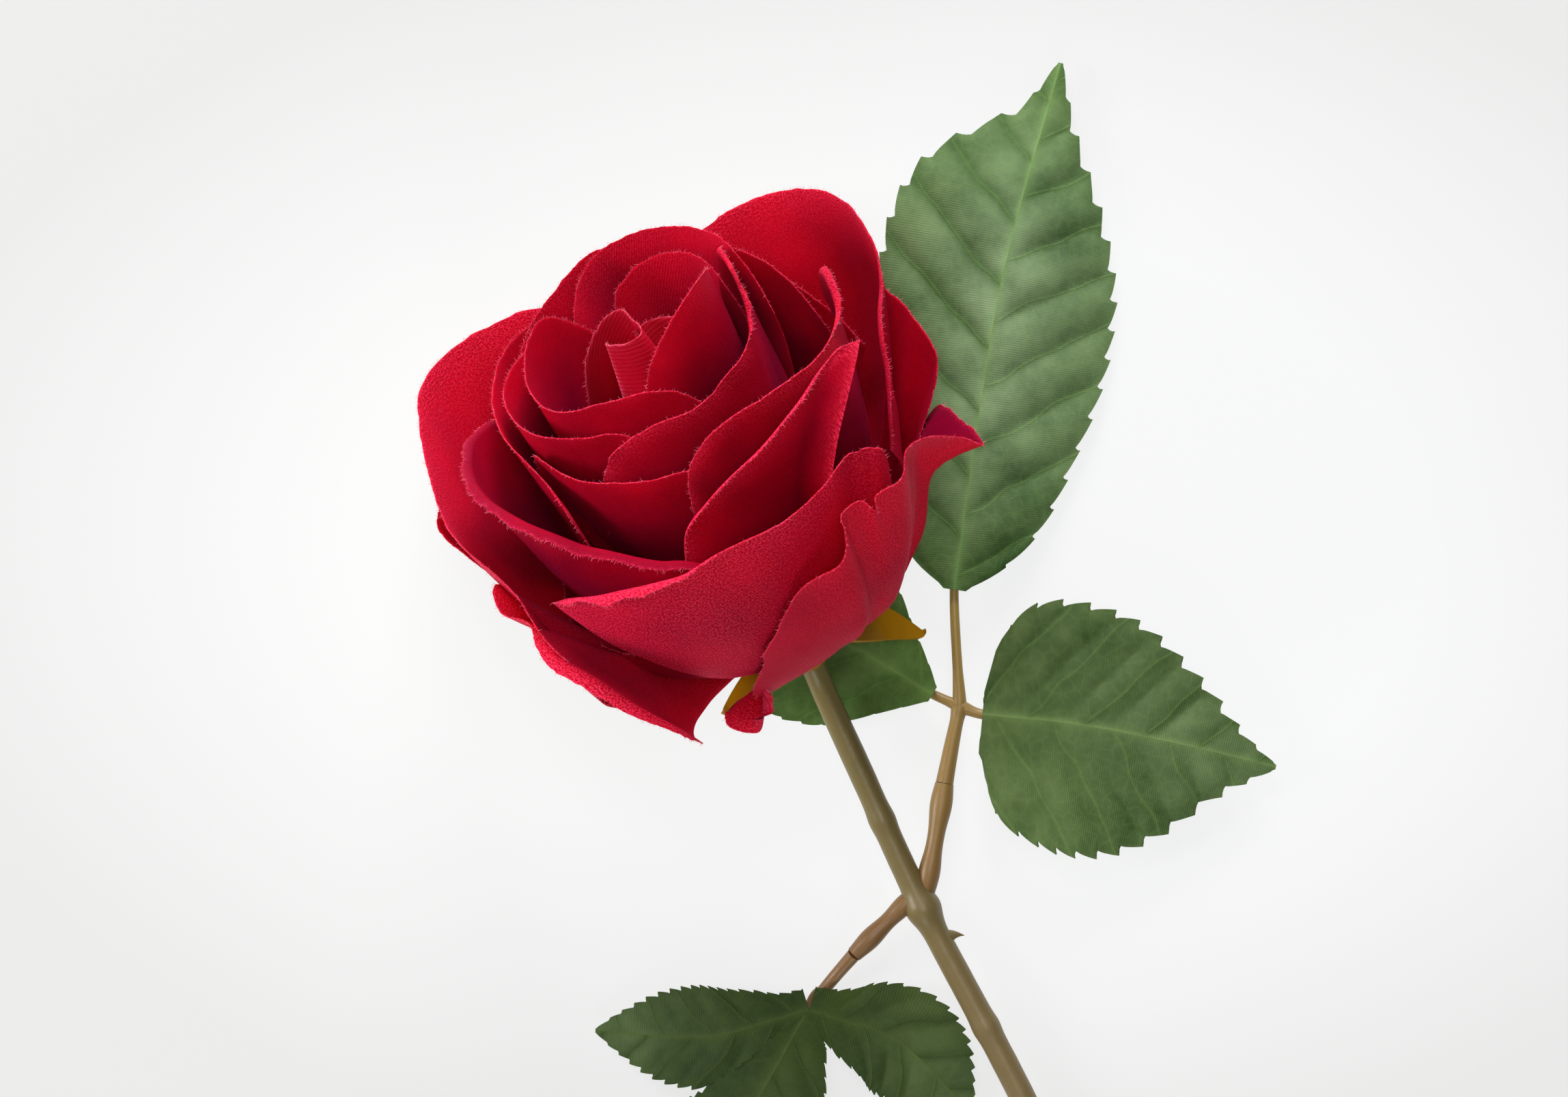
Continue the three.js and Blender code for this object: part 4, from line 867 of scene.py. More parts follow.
def thread_piece(name, rims, tree):
    """Loose threads along the rims given as (points, directions away from the cloth)."""
    edges, first = [], 0
    for line, _ in rims:
        edges += [(first + k, first + k + 1) for k in range(len(line) - 1)]
        first += len(line)
    data = new_mesh(name + "_edges", np.vstack([line for line, _ in rims]), edges, [])
    outward = data.attributes.new("away", "FLOAT_VECTOR", "POINT")
    away = np.vstack([directions for _, directions in rims])
    outward.data.foreach_set("vector", away.astype(np.float32).ravel())
    piece = new_object(name, data)
    modifier = piece.modifiers.new("threads", "NODES")
    modifier.node_group = tree
    for item in tree.interface.items_tree:
        if item.name in THREAD_VALUES and item.in_out == "INPUT":
            modifier[item.identifier] = THREAD_VALUES[item.name]
    depsgraph = bpy.context.evaluated_depsgraph_get()
    made = bpy.data.meshes.new_from_object(piece.evaluated_get(depsgraph))
    piece.modifiers.remove(modifier)
    piece.data = made
    return piece


# Materials
def new_material(name):
    material = bpy.data.materials.new(name)
    material.use_nodes = True
    material.node_tree.nodes.clear()
    return material, material.node_tree


def shade(material, inputs):
    """Gives the material one shader with these inputs."""
    shader = new_node(material.node_tree, "ShaderNodeBsdfPrincipled", inputs)
    new_node(material.node_tree, "ShaderNodeOutputMaterial", {0: shader.outputs[0]})
    return material


def mix_colour(factor, first, second):
    """A mix of two colours, whose sockets come after those for numbers and vectors."""
    inputs = {0: factor, 6: first, 7: second}
    return Value(new_node(factor.tree, "ShaderNodeMix", inputs, data_type="RGBA").outputs[2])


def noise_texture(vector, scale, detail, roughness=0.5):
    inputs = {"Vector": vector, "Scale": scale, "Detail": detail, "Roughness": roughness}
    return Value(new_node(vector.tree, "ShaderNodeTexNoise", inputs).outputs["Fac"])


def stretched(value, low, high, to_low=0.0, to_high=1.0):
    """The value's range from low to high, spread over another."""
    inputs = {"Value": value, "From Min": low, "From Max": high, "To Min": to_low, "To Max": to_high}
    return Value(new_node(value.tree, "ShaderNodeMapRange", inputs).outputs[0])


def fading(value, length):
    """One where the value is zero, and nearly nothing beyond a few such lengths."""
    return (value * (-1 / length)).maths("EXPONENT")


def attribute(tree, name):
    return Value(new_node(tree, "ShaderNodeAttribute", {}, attribute_name=name).outputs["Fac"])


def cloth_coordinates(tree):
    return Value(new_node(tree, "ShaderNodeUVMap", {}, uv_map="cloth").outputs[0])


def object_coordinates(tree):
    return Value(tree.nodes.new("ShaderNodeTexCoord").outputs["Object"])


def bump(height, strength, distance, under=None):
    """A surface raised by a height, over another such surface where one is given."""
    inputs = {"Strength": strength, "Distance": distance, "Height": height}
    if under:
        inputs["Normal"] = under
    return Value(new_node(height.tree, "ShaderNodeBump", inputs).outputs[0])


def start_group(name, numbers):
    """A node group that takes cloth coordinates and the given numbers, returned as values."""
    tree = bpy.data.node_groups.new(name, "ShaderNodeTree")
    tree.interface.new_socket("Cloth", in_out="INPUT", socket_type="NodeSocketVector")
    for label, default in numbers.items():
        socket = tree.interface.new_socket(label, in_out="INPUT", socket_type="NodeSocketFloat")
        socket.default_value = default
    entry = tree.nodes.new("NodeGroupInput")
    return tree, [Value(entry.outputs[label]) for label in ("Cloth", *numbers)]


def end_group(tree, numbers):
    for label in numbers:
        tree.interface.new_socket(label, in_out="OUTPUT", socket_type="NodeSocketFloat")
    new_node(tree, "NodeGroupOutput", numbers)
    return tree


def place_group(group, **inputs):
    """Places a group in the tree of its cloth coordinates, and returns what it gives by name."""
    node = new_node(inputs["Cloth"].tree, "ShaderNodeGroup", inputs, node_tree=group)
    return {output.name: Value(output) for output in node.outputs}


# Weave: metres from thread to thread, how they slant, and how often finer ones cross them
WEAVE_PITCH = 0.00052
WEAVE_SLANT = 0.55
CROSSING_RATE = 1.35
TURN = 2 * math.pi

# Veins of a leaf, in metres: how they waver, lean and differ from side to side, and half widths
VEIN_WAVER = 0.004
VEIN_LEAN = 0.75
VEIN_STAGGER = 0.0022
VEIN_HALF = 0.00035
RIB_HALF = 0.00055
NET_LINE = 1 / 14


def weave_group():
    """Woven cloth: slanting floats of thread, crossed by finer ones, and uneven threads."""
    tree, (cloth, pitch, slant) = start_group("woven cloth", {"Pitch": WEAVE_PITCH, "Slant": WEAVE_SLANT})
    across, up, _ = parts(cloth)
    across, up = across / pitch, up / pitch
    twill = ((up * slant + across) * TURN).maths("SINE")
    crossing = (up * (TURN * CROSSING_RATE)).maths("SINE")
    uneven = noise_texture(cloth, scale=2700, detail=1)
    return end_group(tree, {
        "Height": twill * crossing * 0.35 + twill * 0.5 + uneven * 0.5,
        "Thread": uneven,
        "Twill": stretched(twill, -0.6, 0.6),
    })


def vein_group():
    """Pressed veins of a leaf: cloth coordinates are metres along the rib and away from it."""
    tree, (cloth, spacing, lean) = start_group("pressed veins", {"Spacing": 0.011, "Lean": VEIN_LEAN})
    run, beside, _ = parts(cloth)
    wobble = (noise_texture(cloth, scale=90, detail=1) - 0.5) * VEIN_WAVER
    away = abs(beside)
    start = run + wobble - away * lean + beside.maths("SIGN") * VEIN_STAGGER
    off_middle = abs((start / spacing).maths("FRACT") - 0.5)
    lateral = fading((off_middle * -1 + 0.5) * spacing, VEIN_HALF)
    rib = fading(away, RIB_HALF)
    cells = new_node(tree, "ShaderNodeTexVoronoi", {"Scale": 420, "Vector": cloth},
                     feature="DISTANCE_TO_EDGE")
    return end_group(tree, {
        "Vein": (lateral * 0.6).maths("MAXIMUM", rib),
        "Quilt": off_middle * 2,
        "Net": fading(Value(cells.outputs["Distance"]), NET_LINE),
    })


WOVEN = weave_group()
VEINS = vein_group()
# Satin colours: deep and bright dye, painted sheen (which also pales the cut edge), and painted shade
SATIN_DEEP = (0.31, 0.0003, 0.011)
SATIN_BRIGHT = (0.48, 0.0005, 0.014)
SATIN_SHEEN_AND_CUT_EDGE = (1.0, 0.035, 0.105)
SATIN_PAINTED_SHADE = (0.2, 0.001, 0.022)

# Range of the patches of dye, and of the weave's speckle with how much it spreads over
DYE_PATCHES = (0.35, 0.65)
SPECKLE = (0.38, 0.68, 0.05, 1.1)

# Share of the speckle in ribbed satin, and on a cut edge, with how far in it fades in millimetres
RIB_SPECKLE = 0.4
CUT_SPECKLE = 0.6
CUT_EDGE = 1 / 3

# How strongly the satin's threads stand out, how much less where it is ribbed, and how high
SATIN_BUMP, RIB_SMOOTHING, SATIN_RELIEF = 0.5, 0.35, 0.00012


def satin(name, painted_recess_shade, reach, pitch=WEAVE_PITCH, slant=WEAVE_SLANT, ribbed=0.0, sheen_and_cut_edge=SATIN_SHEEN_AND_CUT_EDGE):
    """Satin in patches of dye, with painted shade that deepens away from the rim. Where the painted
    light is above zero its threads are paler with painted sheen, where it is below it takes on painted
    shade, and its threads are paler along the cut edge.

    The second argument is the colour of the painted shade far from the rim. Reach is how far off, in
    millimetres, it starts and ends to turn to that, and how much. Ribbed is how far the threads run
    together to shining ribs. The last argument is the colour of the painted sheen and the cut edge."""
    material, tree = new_material(name)
    weave = place_group(WOVEN, Cloth=cloth_coordinates(tree), Pitch=pitch, Slant=slant)
    rim, painted_light = attribute(tree, "rim"), attribute(tree, "painted_light")
    uneven = stretched(noise_texture(object_coordinates(tree), scale=60, detail=3), *DYE_PATCHES)
    colour = mix_colour(uneven, SATIN_DEEP, SATIN_BRIGHT)
    start, end, strength = reach
    # Painted shade: darker away from the rim, towards the foot of the petal
    colour = mix_colour(stretched(rim, start, end, 0, strength), colour, painted_recess_shade)
    # Painted shade where the painted light is below zero
    colour = mix_colour((painted_light * -1).maths("MAXIMUM", 0), colour, SATIN_PAINTED_SHADE)
    speckle = stretched(weave["Thread"], *SPECKLE)
    if ribbed:
        speckle = speckle * RIB_SPECKLE + (1 - RIB_SPECKLE)
        speckle = speckle * (weave["Twill"] * ribbed + (1 - ribbed))
    # Painted sheen in paler threads, and paler threads along the cut edge
    sheen_and_cut = (speckle * painted_light).maths("MAXIMUM", fading(rim, CUT_EDGE) * (speckle * CUT_SPECKLE))
    return shade(material, {
        "Base Color": mix_colour(sheen_and_cut, colour, sheen_and_cut_edge),
        "Roughness": 0.55, "Specular IOR Level": 0.03,
        "Sheen Weight": 0.14, "Sheen Roughness": 0.4, "Sheen Tint": (1.0, 0.03, 0.14),
        "Subsurface Weight": 0.5, "Subsurface Radius": (1, 0.02, 0.08), "Subsurface Scale": 0.0012,
        "Normal": bump(weave["Height"], SATIN_BUMP - RIB_SMOOTHING * ribbed, SATIN_RELIEF),
    })


# Painted sheen: pale patches of a leaf, in metres: where they begin, end, and how far from the rib they fade
SHEEN_BEGIN, SHEEN_END, SHEEN_FADE = (0.006, 0.035), (0.06, 0.092), 0.015


def painted_rib_sheen(run, beside, mottle):
    """Painted sheen: pale patches along the middle of a leaf, fading away from its rib and towards both
    ends.
    """
    middle = stretched(run, *SHEEN_BEGIN) * stretched(run, *SHEEN_END, 1, 0)
    return fading(abs(beside), SHEEN_FADE) * (middle * (mottle * 0.8 + 0.3))


def leaf_cloth(name, dark, light, vein_colour, spacing, lean=VEIN_LEAN, pale=(0.2, 0.3, 0.15, 0.3)):
    """Printed cloth: mottled green with paler veins, pressed between them, with painted shade in the
    hollows along the veins and painted sheen in pale patches by the rib.

    Spacing and lean are those of the veins. Pale is the painted sheen's colour, with its strength last."""
    material, tree = new_material(name)
    cloth, place = cloth_coordinates(tree), object_coordinates(tree)
    veins = place_group(VEINS, Cloth=cloth, Spacing=spacing, Lean=lean)
    weave = place_group(WOVEN, Cloth=cloth, Pitch=0.0004, Slant=0.05)
    fine = stretched(noise_texture(place, scale=130, detail=5, roughness=0.65), 0.34, 0.66)
    broad = stretched(noise_texture(place, scale=38, detail=2), 0.36, 0.64)
    mottle = broad * 0.5 + fine * 0.5
    run, beside, _ = parts(cloth)
    colour = mix_colour(mottle, dark, light)
    # Painted sheen in pale patches by the rib
    colour = mix_colour(painted_rib_sheen(run, beside, mottle) * pale[3], colour, pale[:3])
    # Painted shade in the hollows along the veins, stronger on the leaf's left half
    painted_vein_shade = veins["Quilt"].maths("POWER", 4) * (beside.maths("SIGN") * 0.25 + 0.6)
    colour = mix_colour(painted_vein_shade, colour, dark)
    colour = mix_colour(veins["Net"] * 0.1, colour, vein_colour)
    under = bump(weave["Height"], 0.35, 0.00008)
    return shade(material, {
        "Base Color": mix_colour(veins["Vein"] * 0.5, colour, vein_colour),
        "Roughness": 0.62, "Specular IOR Level": 0.2, "Sheen Weight": 0.05, "Sheen Roughness": 0.5,
        "Normal": bump(veins["Vein"], 0.6, 0.0003, under),
    })


STREAK_TURN = math.radians(-27)
STREAK_SHAPE = (1, 0.12, 1)


def moulded(name, low, high, low_y, high_y, streak, specular=0.5):
    """Moulded plastic: the colour changes along the piece, with long faint streaks."""
    material, tree = new_material(name)
    place = object_coordinates(tree)
    drawn_out = new_node(tree, "ShaderNodeMapping", {
        "Vector": place, "Rotation": (0, 0, STREAK_TURN), "Scale": STREAK_SHAPE,
    })
    streaks = noise_texture(Value(drawn_out.outputs[0]), scale=500, detail=3, roughness=0.6)
    colour = mix_colour(stretched(parts(place)[1], low_y, high_y), low, high)
    return shade(material, {
        "Base Color": mix_colour(streaks * 0.5, colour, streak),
        "Roughness": 0.42, "Specular IOR Level": specular,
        "Normal": bump(noise_texture(place, scale=900, detail=3), 0.35, 0.00015),
    })


def loose_thread():
    return shade(new_material("loose thread")[0], {
        "Base Color": (0.85, 0.16, 0.24), "Roughness": 0.6, "Specular IOR Level": 0.2,
    })


def drawn_steel():
    material, tree = new_material("drawn steel")
    scratches = noise_texture(object_coordinates(tree), scale=3000, detail=2)
    return shade(material, {
        "Base Color": mix_colour(scratches, (0.33, 0.33, 0.34), (0.5, 0.5, 0.5)),
        "Metallic": 1, "Roughness": 0.38,
        "Normal": bump(scratches, 0.3, 0.00005),
    })


# Inner petals get darker painted shade that sets in nearer the rim; the bud gets pinker painted sheen
satin_outer = satin("satin of the outer petals", (0.18, 0.0001, 0.009), (6, 36, 0.55))
satin_inner = satin("satin of the inner petals", (0.11, 0.0001, 0.013), (2, 17, 0.9))
satin_bud = satin("satin of the bud", (0.18, 0.0001, 0.012), (8, 30, 0.8),
                  pitch=0.0025, slant=-2.8, ribbed=0.75, sheen_and_cut_edge=(1.0, 0.12, 0.23))
SATINS = {"bud_roll": satin_bud, "petals_e": satin_outer, "petals_f": satin_outer}
leaf_green = leaf_cloth("leaf green", (0.016, 0.058, 0.005), (0.105, 0.18, 0.052), (0.22, 0.38, 0.11),
                        spacing=0.0115, pale=(0.3, 0.42, 0.225, 0.9))
leaf_mid = leaf_cloth("leaf middle green", (0.02, 0.055, 0.006), (0.1, 0.155, 0.045),
                      (0.2, 0.31, 0.09), spacing=0.0105)
leaf_shaded = leaf_cloth("leaf shaded green", (0.03, 0.085, 0.006), (0.12, 0.21, 0.045),
                         (0.2, 0.34, 0.08), spacing=0.0085)
leaf_deep = leaf_cloth("leaf deep green", (0.014, 0.034, 0.0025), (0.045, 0.075, 0.008),
                       (0.07, 0.11, 0.018), spacing=0.008, lean=0.8)
LEAF_CLOTHS = {"leaf_terminal": leaf_green, "leaf_right": leaf_mid, "leaf_left": leaf_shaded}
stem_plastic = moulded("stem plastic", (0.19, 0.13, 0.055), (0.2, 0.155, 0.045), -0.02, 0.045,
                       (0.12, 0.1, 0.03))
branch_plastic = moulded("branch plastic", (0.2, 0.105, 0.035), (0.38, 0.27, 0.06), 0.0, 0.06,
                         (0.2, 0.09, 0.025))
calyx_plastic = moulded("calyx plastic", (0.36, 0.17, 0.001), (0.4, 0.19, 0.001), 0, 0.1,
                        (0.22, 0.085, 0.0005), 0.15)
peg_plastic = moulded("peg plastic", (0.7, 0.66, 0.55), (0.72, 0.68, 0.58), 0, 0.1, (0.6, 0.56, 0.45))
wire_steel = drawn_steel()

# Flower
thread_nodes = threads_tree(loose_thread())
for layer, (name, whorl) in enumerate(WHORLS.items()):
    piece, rims = whorl_piece(name + "_satin", whorl, layer, SATINS.get(name, satin_inner))
    finish_piece(piece, "petal_satin", name)
    finish_piece(thread_piece(name + "_threads", rims, thread_nodes), "petal_satin", name)


# Stem
def thorn(rods, at, side):
    """A cone that stands out of the stem and leans along it."""
    here = catmull_by_length(STEM_ROUTE, [at - THORN_SPAN, at, at + THORN_SPAN])
    tangent = unit(here[2] - here[0])
    out = unit(np.cross(tangent, UPWARD)) * side
    s = np.linspace(0, 1, THORN_RINGS)
    root = here[1] + out * (STEM_RADIUS_TOP - THORN_ROOT)
    spine = root + np.outer(s * (THORN_HEIGHT + THORN_SUNK), out) + np.outer(THORN_LEAN * s**2, tangent)
    rods.rod(spine, THORN_RADIUS * (1 - s) ** THORN_SHARPNESS + THORN_TIP, THORN_RINGS)


def make_stem():
    rods = Rods()
    radii = (STEM_RADIUS_TOP, STEM_RADIUS_END - STEM_RADIUS_TOP)
    rods.swollen(STEM_ROUTE, 520, radii, STEM_SWELLINGS, STEM_BUMPS, 28, STEM_ENDS)
    for at, side in THORNS:
        thorn(rods, at, side)
    return rods.mesh("stem_moulding", stem_plastic)


# Branches
def leaf_stalk(rods, name, share):
    """A stalk from the fork that runs on under its leaf and thins out along the blade."""
    under = catmull_by_length(LEAVES[name]["rib"], np.linspace(0, share, 6))
    thin = np.linspace(STALK_RADIUS, STALK_END_RADIUS, 6)
    height = under[:, 2] - LEAF_CLOTH_CAD / 2 - LEAF_GAP - thin - STALK_GAP
    under[:, 2] = np.maximum(height, thin)
    t = np.linspace(0, 1, 90)
    path = catmull_by_length(np.vstack([[UPPER_FORK], under]), t)
    radius = STALK_RADIUS - STALK_THINNING * t
    radius = radius * (1 + STALK_FOOT * bell(t, 0, 0.06)) + 0.03 * ripple(path, 3, 6)
    radius[-6:] *= np.linspace(1, 0.3, 6)
    rods.rod(path, radius, 14)


def reaching(points, length):
    """The same points, with the first moved back along the line to it."""
    first, second = np.array(points[0], float), np.array(points[1], float)
    return [first - length * unit(second - first), *points[1:]]


def make_branch_upper():
    rods = Rods()
    rods.swollen(reaching(UPPER_SOCKET, STEM_REACH), 120, (1.4, 0),
                 [(0.2, 0.6, 0.2), (0.82, 0.6, 0.2)], [(0.05, 4, 3)], 20)
    rods.swollen([UPPER_SOCKET[2], UPPER_BEND, UPPER_FORK], 120, (1.6, -0.45),
                 [(1, 0.4, 0.12)], [(0.04, 4, 5)], 18)
    for name, share in STALK_SHARES.items():
        leaf_stalk(rods, name, share)
    return rods.mesh("branch_upper_moulding", branch_plastic)


def make_branch_lower():
    rods = Rods()
    rods.swollen(reaching(LOWER_SOCKET, STEM_REACH), 100, (1.3, 0),
                 [(0.25, 0.5, 0.2), (0.75, 0.55, 0.22)], [(0.05, 4, 7)], 18)
    under = LOBE_CENTRE[2] - LEAF_CLOTH_CAD / 2 - LEAF_GAP - LOBE_STALK_RADIUS
    heights = (LOBE_STALK_RISE, under, under, under - LOBE_STALK_DROP)
    route = [LOWER_SOCKET[2], *((x, y, z) for (x, y), z in zip(LOBE_STALK, heights))]
    rods.swollen(route, 100, (1.3, -0.6), [], [(0.03, 3, 8)], 14)
    return rods.mesh("branch_lower_moulding", branch_plastic)


finish_piece(make_stem(), "stem_plastic", "stem")
finish_piece(make_branch_upper(), "stem_plastic", "branch_upper")
finish_piece(make_branch_lower(), "stem_plastic", "branch_lower")


# Calyx
def sepal_grid(spec):
    """A sepal's middle surface: cupped, bent back and twisted."""
    t = np.linspace(0, 1, SEPAL_ROWS)[:, None]
    s = np.linspace(-1, 1, SEPAL_COLUMNS)[None, :]
    width = spec["width"] * (1 - t) ** spec["point"] * (0.75 + t) + SEPAL_TIP
    twist = math.radians(spec["twist"]) * np.minimum(1, 2.5 * t)
    radius = SEPAL_ROOT + (spec["length"] - SEPAL_ROOT) * np.sin(t * 1.5) + 0 * s
    height = -SEPAL_ROOT_DROP + spec["back"] * t**1.4 + spec["lift"] * t**5
    height = height + SEPAL_CUPPING * s**2 * (1 - t) + np.sin(twist) * s * width
    turn = np.degrees(np.cos(twist) * s * width / radius)
    grid = bloom_point(spec["azimuth"] + turn, radius, height)
    grid[..., 2] = soft_floor(grid[..., 2], SEPAL_FLOOR)
    return grid


def make_hip():
    rods = Rods()
    profile = np.array(HIP_PROFILE, float)
    angle = np.repeat(np.linspace(0, 360, HIP_SIDES, endpoint=False)[None, :], len(profile), axis=0)
    lobed = 1 + HIP_LOBE_DEPTH * np.cos(np.radians(angle * HIP_LOBES))
    radius = np.maximum(profile[:, 0], HIP_LEAST_RADIUS)[:, None] * lobed
    height = np.repeat(profile[:, 1][:, None], HIP_SIDES, axis=1)
    rods.body(bloom_point(angle, radius, height))
    return rods.mesh("calyx_hip", calyx_plastic)


def make_sepals():
    sheets = Sheets()
    for spec in SEPALS:
        grid = sepal_grid({**PLAIN_SEPAL, **spec})
        sheets.blade(grid, grid_normals(grid), SEPAL_THICKNESS)
    return sheets.mesh("calyx_sepals", calyx_plastic)


finish_piece(make_hip(), "calyx_plastic", "calyx")
finish_piece(make_sepals(), "calyx_plastic", "calyx")


# Leaves
def widths_along(pairs, shares):
    """Smooth widths at shares of a leaf's length, from pairs of share and width."""
    fine = catmull([(u, w, 0) for u, w in pairs], np.linspace(0, 1, 800))
    order = np.argsort(fine[:, 0])
    return np.interp(shares, fine[order, 0], fine[order, 1])


def toothed(leaf, s, u, phase):
    """Width that each column reaches, its width there with the teeth cut, and its shift onward."""
    reach = np.where(s > 0, widths_along(leaf["left"], u)[:, None], widths_along(leaf["right"], u)[:, None])
    size = leaf["tooth"] * np.minimum(1, reach / FULL_TOOTH_WIDTH)
    rising = np.clip(phase / TOOTH_RISE, 0, 1) ** 0.8
    falling = np.clip((1 - phase) / TOOTH_FALL, 0, 1)
    profile = np.minimum(rising, falling)[:, None]
    inner = ((u > 0) & (u < 1))[:, None]
    bite = BITE_SHARE * size * (1 - profile) * inner
    edge = np.clip((np.abs(s) - EDGE_START) / EDGE_SPAN, 0, 1)
    width = np.maximum(np.abs(s) * reach - bite * edge, 0.02 * np.abs(s))
    return reach, width, LEAN_SHARE * size * profile**2 * edge**2


def quilting(leaf, length, uv, width, reach):
    """Height of the swellings between a leaf's veins."""
    start = uv[..., 0] - QUILT_LEAN * np.abs(uv[..., 1]) + QUILT_SHIFT * np.sign(uv[..., 1])
    part = np.abs((start / (length / leaf["veins"])) % 1 - 0.5) * 2
    fade = np.clip(width / QUILT_FROM_RIB, 0, 1) * np.clip((reach - width) / QUILT_FROM_EDGE, 0, 1)
    return leaf["quilt"] * fade * (QUILT_TOP - part**2) * QUILT_DEPTH


def leaf_grid(leaf, half_columns=LEAF_HALF_COLUMNS):
    """A leaf's middle surface, and its cloth coordinates: along the rib and away from it."""
    teeth = leaf["teeth"]
    u = np.append(((np.arange(teeth)[:, None] + TOOTH_STEPS[None, :]) / teeth).ravel(), 1.0)
    phase = np.append(np.tile(TOOTH_STEPS, teeth), 0.0)
    centre = catmull_by_length(leaf["rib"], u)
    ahead = catmull_by_length(leaf["rib"], np.clip(u + 0.01, 0, 1))
    behind = catmull_by_length(leaf["rib"], np.clip(u - 0.01, 0, 1))
    length = np.sum(np.linalg.norm(np.diff(centre, axis=0), axis=1))
    tangent = unit((ahead - behind)[:, :2])
    sideways = np.stack([-tangent[:, 1], tangent[:, 0]], axis=1)
    s = np.linspace(1, -1, 2 * half_columns + 1)[None, :]
    s = np.sign(s) * np.abs(s) ** COLUMN_CROWDING
    reach, width, shift = toothed(leaf, s, u, phase)
    xy = (centre[:, None, :2] + (np.sign(s) * width)[..., None] * sideways[:, None, :]
          + shift[..., None] * tangent[:, None, :])
    u = u[:, None]
    wave = leaf["wave"] * np.sin(u * 9 + s) * np.abs(s) * np.sin(np.pi * u)
    z = centre[:, 2][:, None] + leaf["fold"] * width + wave
    uv = np.stack([u * length + shift, np.sign(s) * width], axis=-1)
    z = z + quilting(leaf, length, uv, width, reach)
    grid = np.concatenate([xy, z[..., None]], axis=-1)
    crumpled = CRUMPLE_DEPTH * leaf["quilt"] * ripple(grid, CRUMPLE_LENGTH, 3)
    grid[..., 2] += crumpled * np.clip(width / QUILT_FROM_EDGE, 0, 1)
    grid[..., 2] = soft_floor(grid[..., 2], LEAF_CLOTH / 2 + LEAF_LIFT)
    return grid, uv


def add_leaf(sheets, grid, uv, keep=None):
    normals = grid_normals(grid)
    sheets.blade(grid, normals * sense(normals, UPWARD), LEAF_CLOTH, uv, keep=keep)


def lobe_leaf(lobe):
    """One lobe as a leaf whose rib bows from the middle of the lobed leaf to the lobe's tip."""
    start, end = np.array(LOBE_CENTRE, float), np.array(lobe["tip"], float)
    across = unit(np.array([-(end - start)[1], (end - start)[0], 0]))
    half = start + 0.5 * (end - start) + across * lobe["bow"]
    near = start + 0.2 * (end - start) + across * lobe["bow"] * 0.5
    half[2] = near[2] = start[2]
    widths = [(u, w * lobe["width"]) for u, w in LOBE_SHAPE]
    return {"rib": [start, near, half, end], "left": widths, "right": widths,
            "teeth": lobe["teeth"], "tooth": 1.0, "fold": 0, "wave": 0, "veins": 6, "quilt": 0.45}


def lobe_gaps(points):
    """How far each point is in plan from each lobe's rib."""
    spans = []
    for lobe in LOBES:
        rib = catmull_by_length(lobe_leaf(lobe)["rib"], np.linspace(0.02, 1, 60))[:, :2]
        spans.append(np.linalg.norm(points[..., None, :2] - rib, axis=-1).min(axis=-1))
    return np.array(spans)


def make_lobed_leaf():
    """Three lobes, each with only the squares that are nearest to its own rib."""
    sheets = Sheets()
    for k, lobe in enumerate(LOBES):
        grid, uv = leaf_grid(lobe_leaf(lobe), LOBE_HALF_COLUMNS)
        gaps = lobe_gaps((grid[:-1, :-1] + grid[1:, 1:]) / 2)
        add_leaf(sheets, grid, uv, gaps[k] <= gaps.min(axis=0) + LOBE_OVERLAP)
    return sheets.mesh("leaf_lower_cloth", leaf_deep)


for name, leaf in LEAVES.items():
    sheets = Sheets()
    add_leaf(sheets, *leaf_grid(leaf))
    finish_piece(sheets.mesh(name + "_cloth", LEAF_CLOTHS[name]), "leaf_cloth", name)
finish_piece(make_lobed_leaf(), "leaf_cloth", "leaf_lower")

# Pieces kept from the frame
for node, material in (("peg", peg_plastic), ("stem_wire", wire_steel)):
    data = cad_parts[node].data
    data.materials.clear()
    data.materials.append(material)

# Floor that glows with painted light, lighting the flower from below and washing out shadows: the middle of
# its brightest pool and how far off it dims, in metres
bpy.context.scene.view_settings.view_transform = "Standard"
FLOOR_HALF = 6.0
FLOOR_GLOW_MIDDLE = (PLAN_ZERO[0] * MM + 0.02, PLAN_ZERO[1] * MM, 0)
FLOOR_GLOW_SPREAD = (0.16, 0.1, 1)


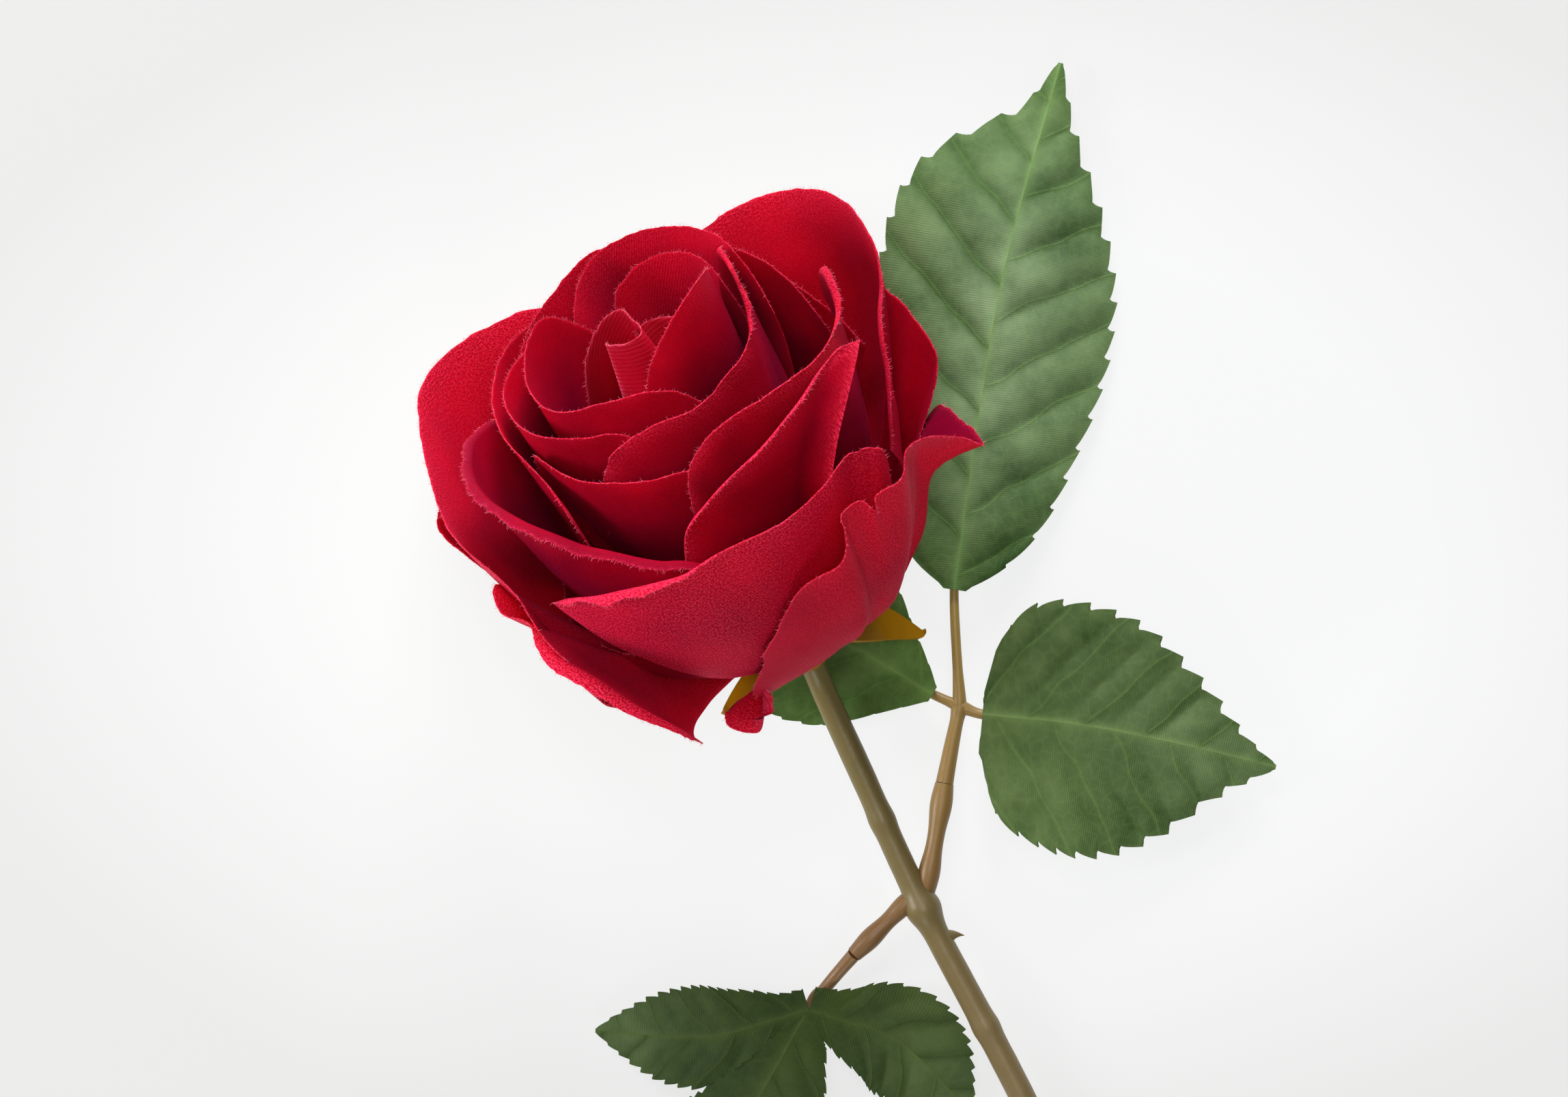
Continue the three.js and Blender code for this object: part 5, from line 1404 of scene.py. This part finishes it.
def make_floor():
    data = bpy.data.meshes.new("floor")
    corners = [(-1, -1), (1, -1), (1, 1), (-1, 1)]
    data.from_pydata([(x * FLOOR_HALF, y * FLOOR_HALF, 0) for x, y in corners], [], [(0, 1, 2, 3)])
    floor = new_object("floor", data)
    material, tree = new_material("glowing floor")
    offset = vector_maths("SUBTRACT", object_coordinates(tree), FLOOR_GLOW_MIDDLE)
    spread = vector_maths("DIVIDE", Value(offset.outputs[0]), FLOOR_GLOW_SPREAD)
    reach = Value(vector_maths("LENGTH", Value(spread.outputs[0])).outputs["Value"])
    # Painted light: the floor glows, brightest round its middle
    data.materials.append(shade(material, {
        "Base Color": (0.12, 0.12, 0.12), "Roughness": 0.9, "Specular IOR Level": 0.1,
        "Emission Color": mix_colour(stretched(reach, 0.6, 1.15), (0.94, 0.95, 0.945), (0.79, 0.795, 0.785)),
        "Emission Strength": 0.86,
    }))


# Round soft lights: heading and height in degrees as seen from the flower, and power in watts
LIGHT_SIZE = 0.5
LIGHT_DISTANCE = 1.3
BLOOM_MIDDLE = Vector((-0.02, 0.09, 0.04))
STUDIO_LIGHTS = {
    "overhead light": (0, 90, 4.5),
    "upper left light": (115, 55, 5),
    "low upper light": (90, 25, 15),
    "low left light": (180, 25, 11),
    "low front light": (270, 25, 4),
}


def studio_light(name, heading, height, power):
    """A lamp at that heading and height that points at the middle of the flower."""
    light = bpy.data.lights.new(name, "AREA")
    light.shape = "DISK"
    light.size = LIGHT_SIZE
    light.energy = power
    heading, height = math.radians(heading), math.radians(height)
    offset = Vector((math.cos(height) * math.cos(heading), math.cos(height) * math.sin(heading),
                     math.sin(height))) * LIGHT_DISTANCE
    lamp = new_object(name, light)
    lamp.location = BLOOM_MIDDLE + offset
    lamp.rotation_euler = (-offset).to_track_quat("-Z", "Y").to_euler()


make_floor()
for name, settings in STUDIO_LIGHTS.items():
    studio_light(name, *settings)

world = bpy.data.worlds.new("studio")
world.use_nodes = True
backdrop = world.node_tree.nodes["Background"].inputs
backdrop["Color"].default_value = (0.95, 0.97, 1.0, 1)
backdrop["Strength"].default_value = 0.08
bpy.context.scene.world = world

# Camera: straight above, with the focal length and width of the photograph in its pixels
CAMERA_HEIGHT = 0.9
FOCAL_PIXELS = 7290
PICTURE_PIXELS = 2296
camera_data = bpy.data.cameras.new("camera")
camera_data.sensor_fit = "HORIZONTAL"
camera_data.sensor_width = 36
camera_data.lens = camera_data.sensor_width * FOCAL_PIXELS / PICTURE_PIXELS
camera = new_object("camera", camera_data)
camera.location = (PLAN_ZERO[0] * MM, PLAN_ZERO[1] * MM, CAMERA_HEIGHT)
bpy.context.scene.camera = camera
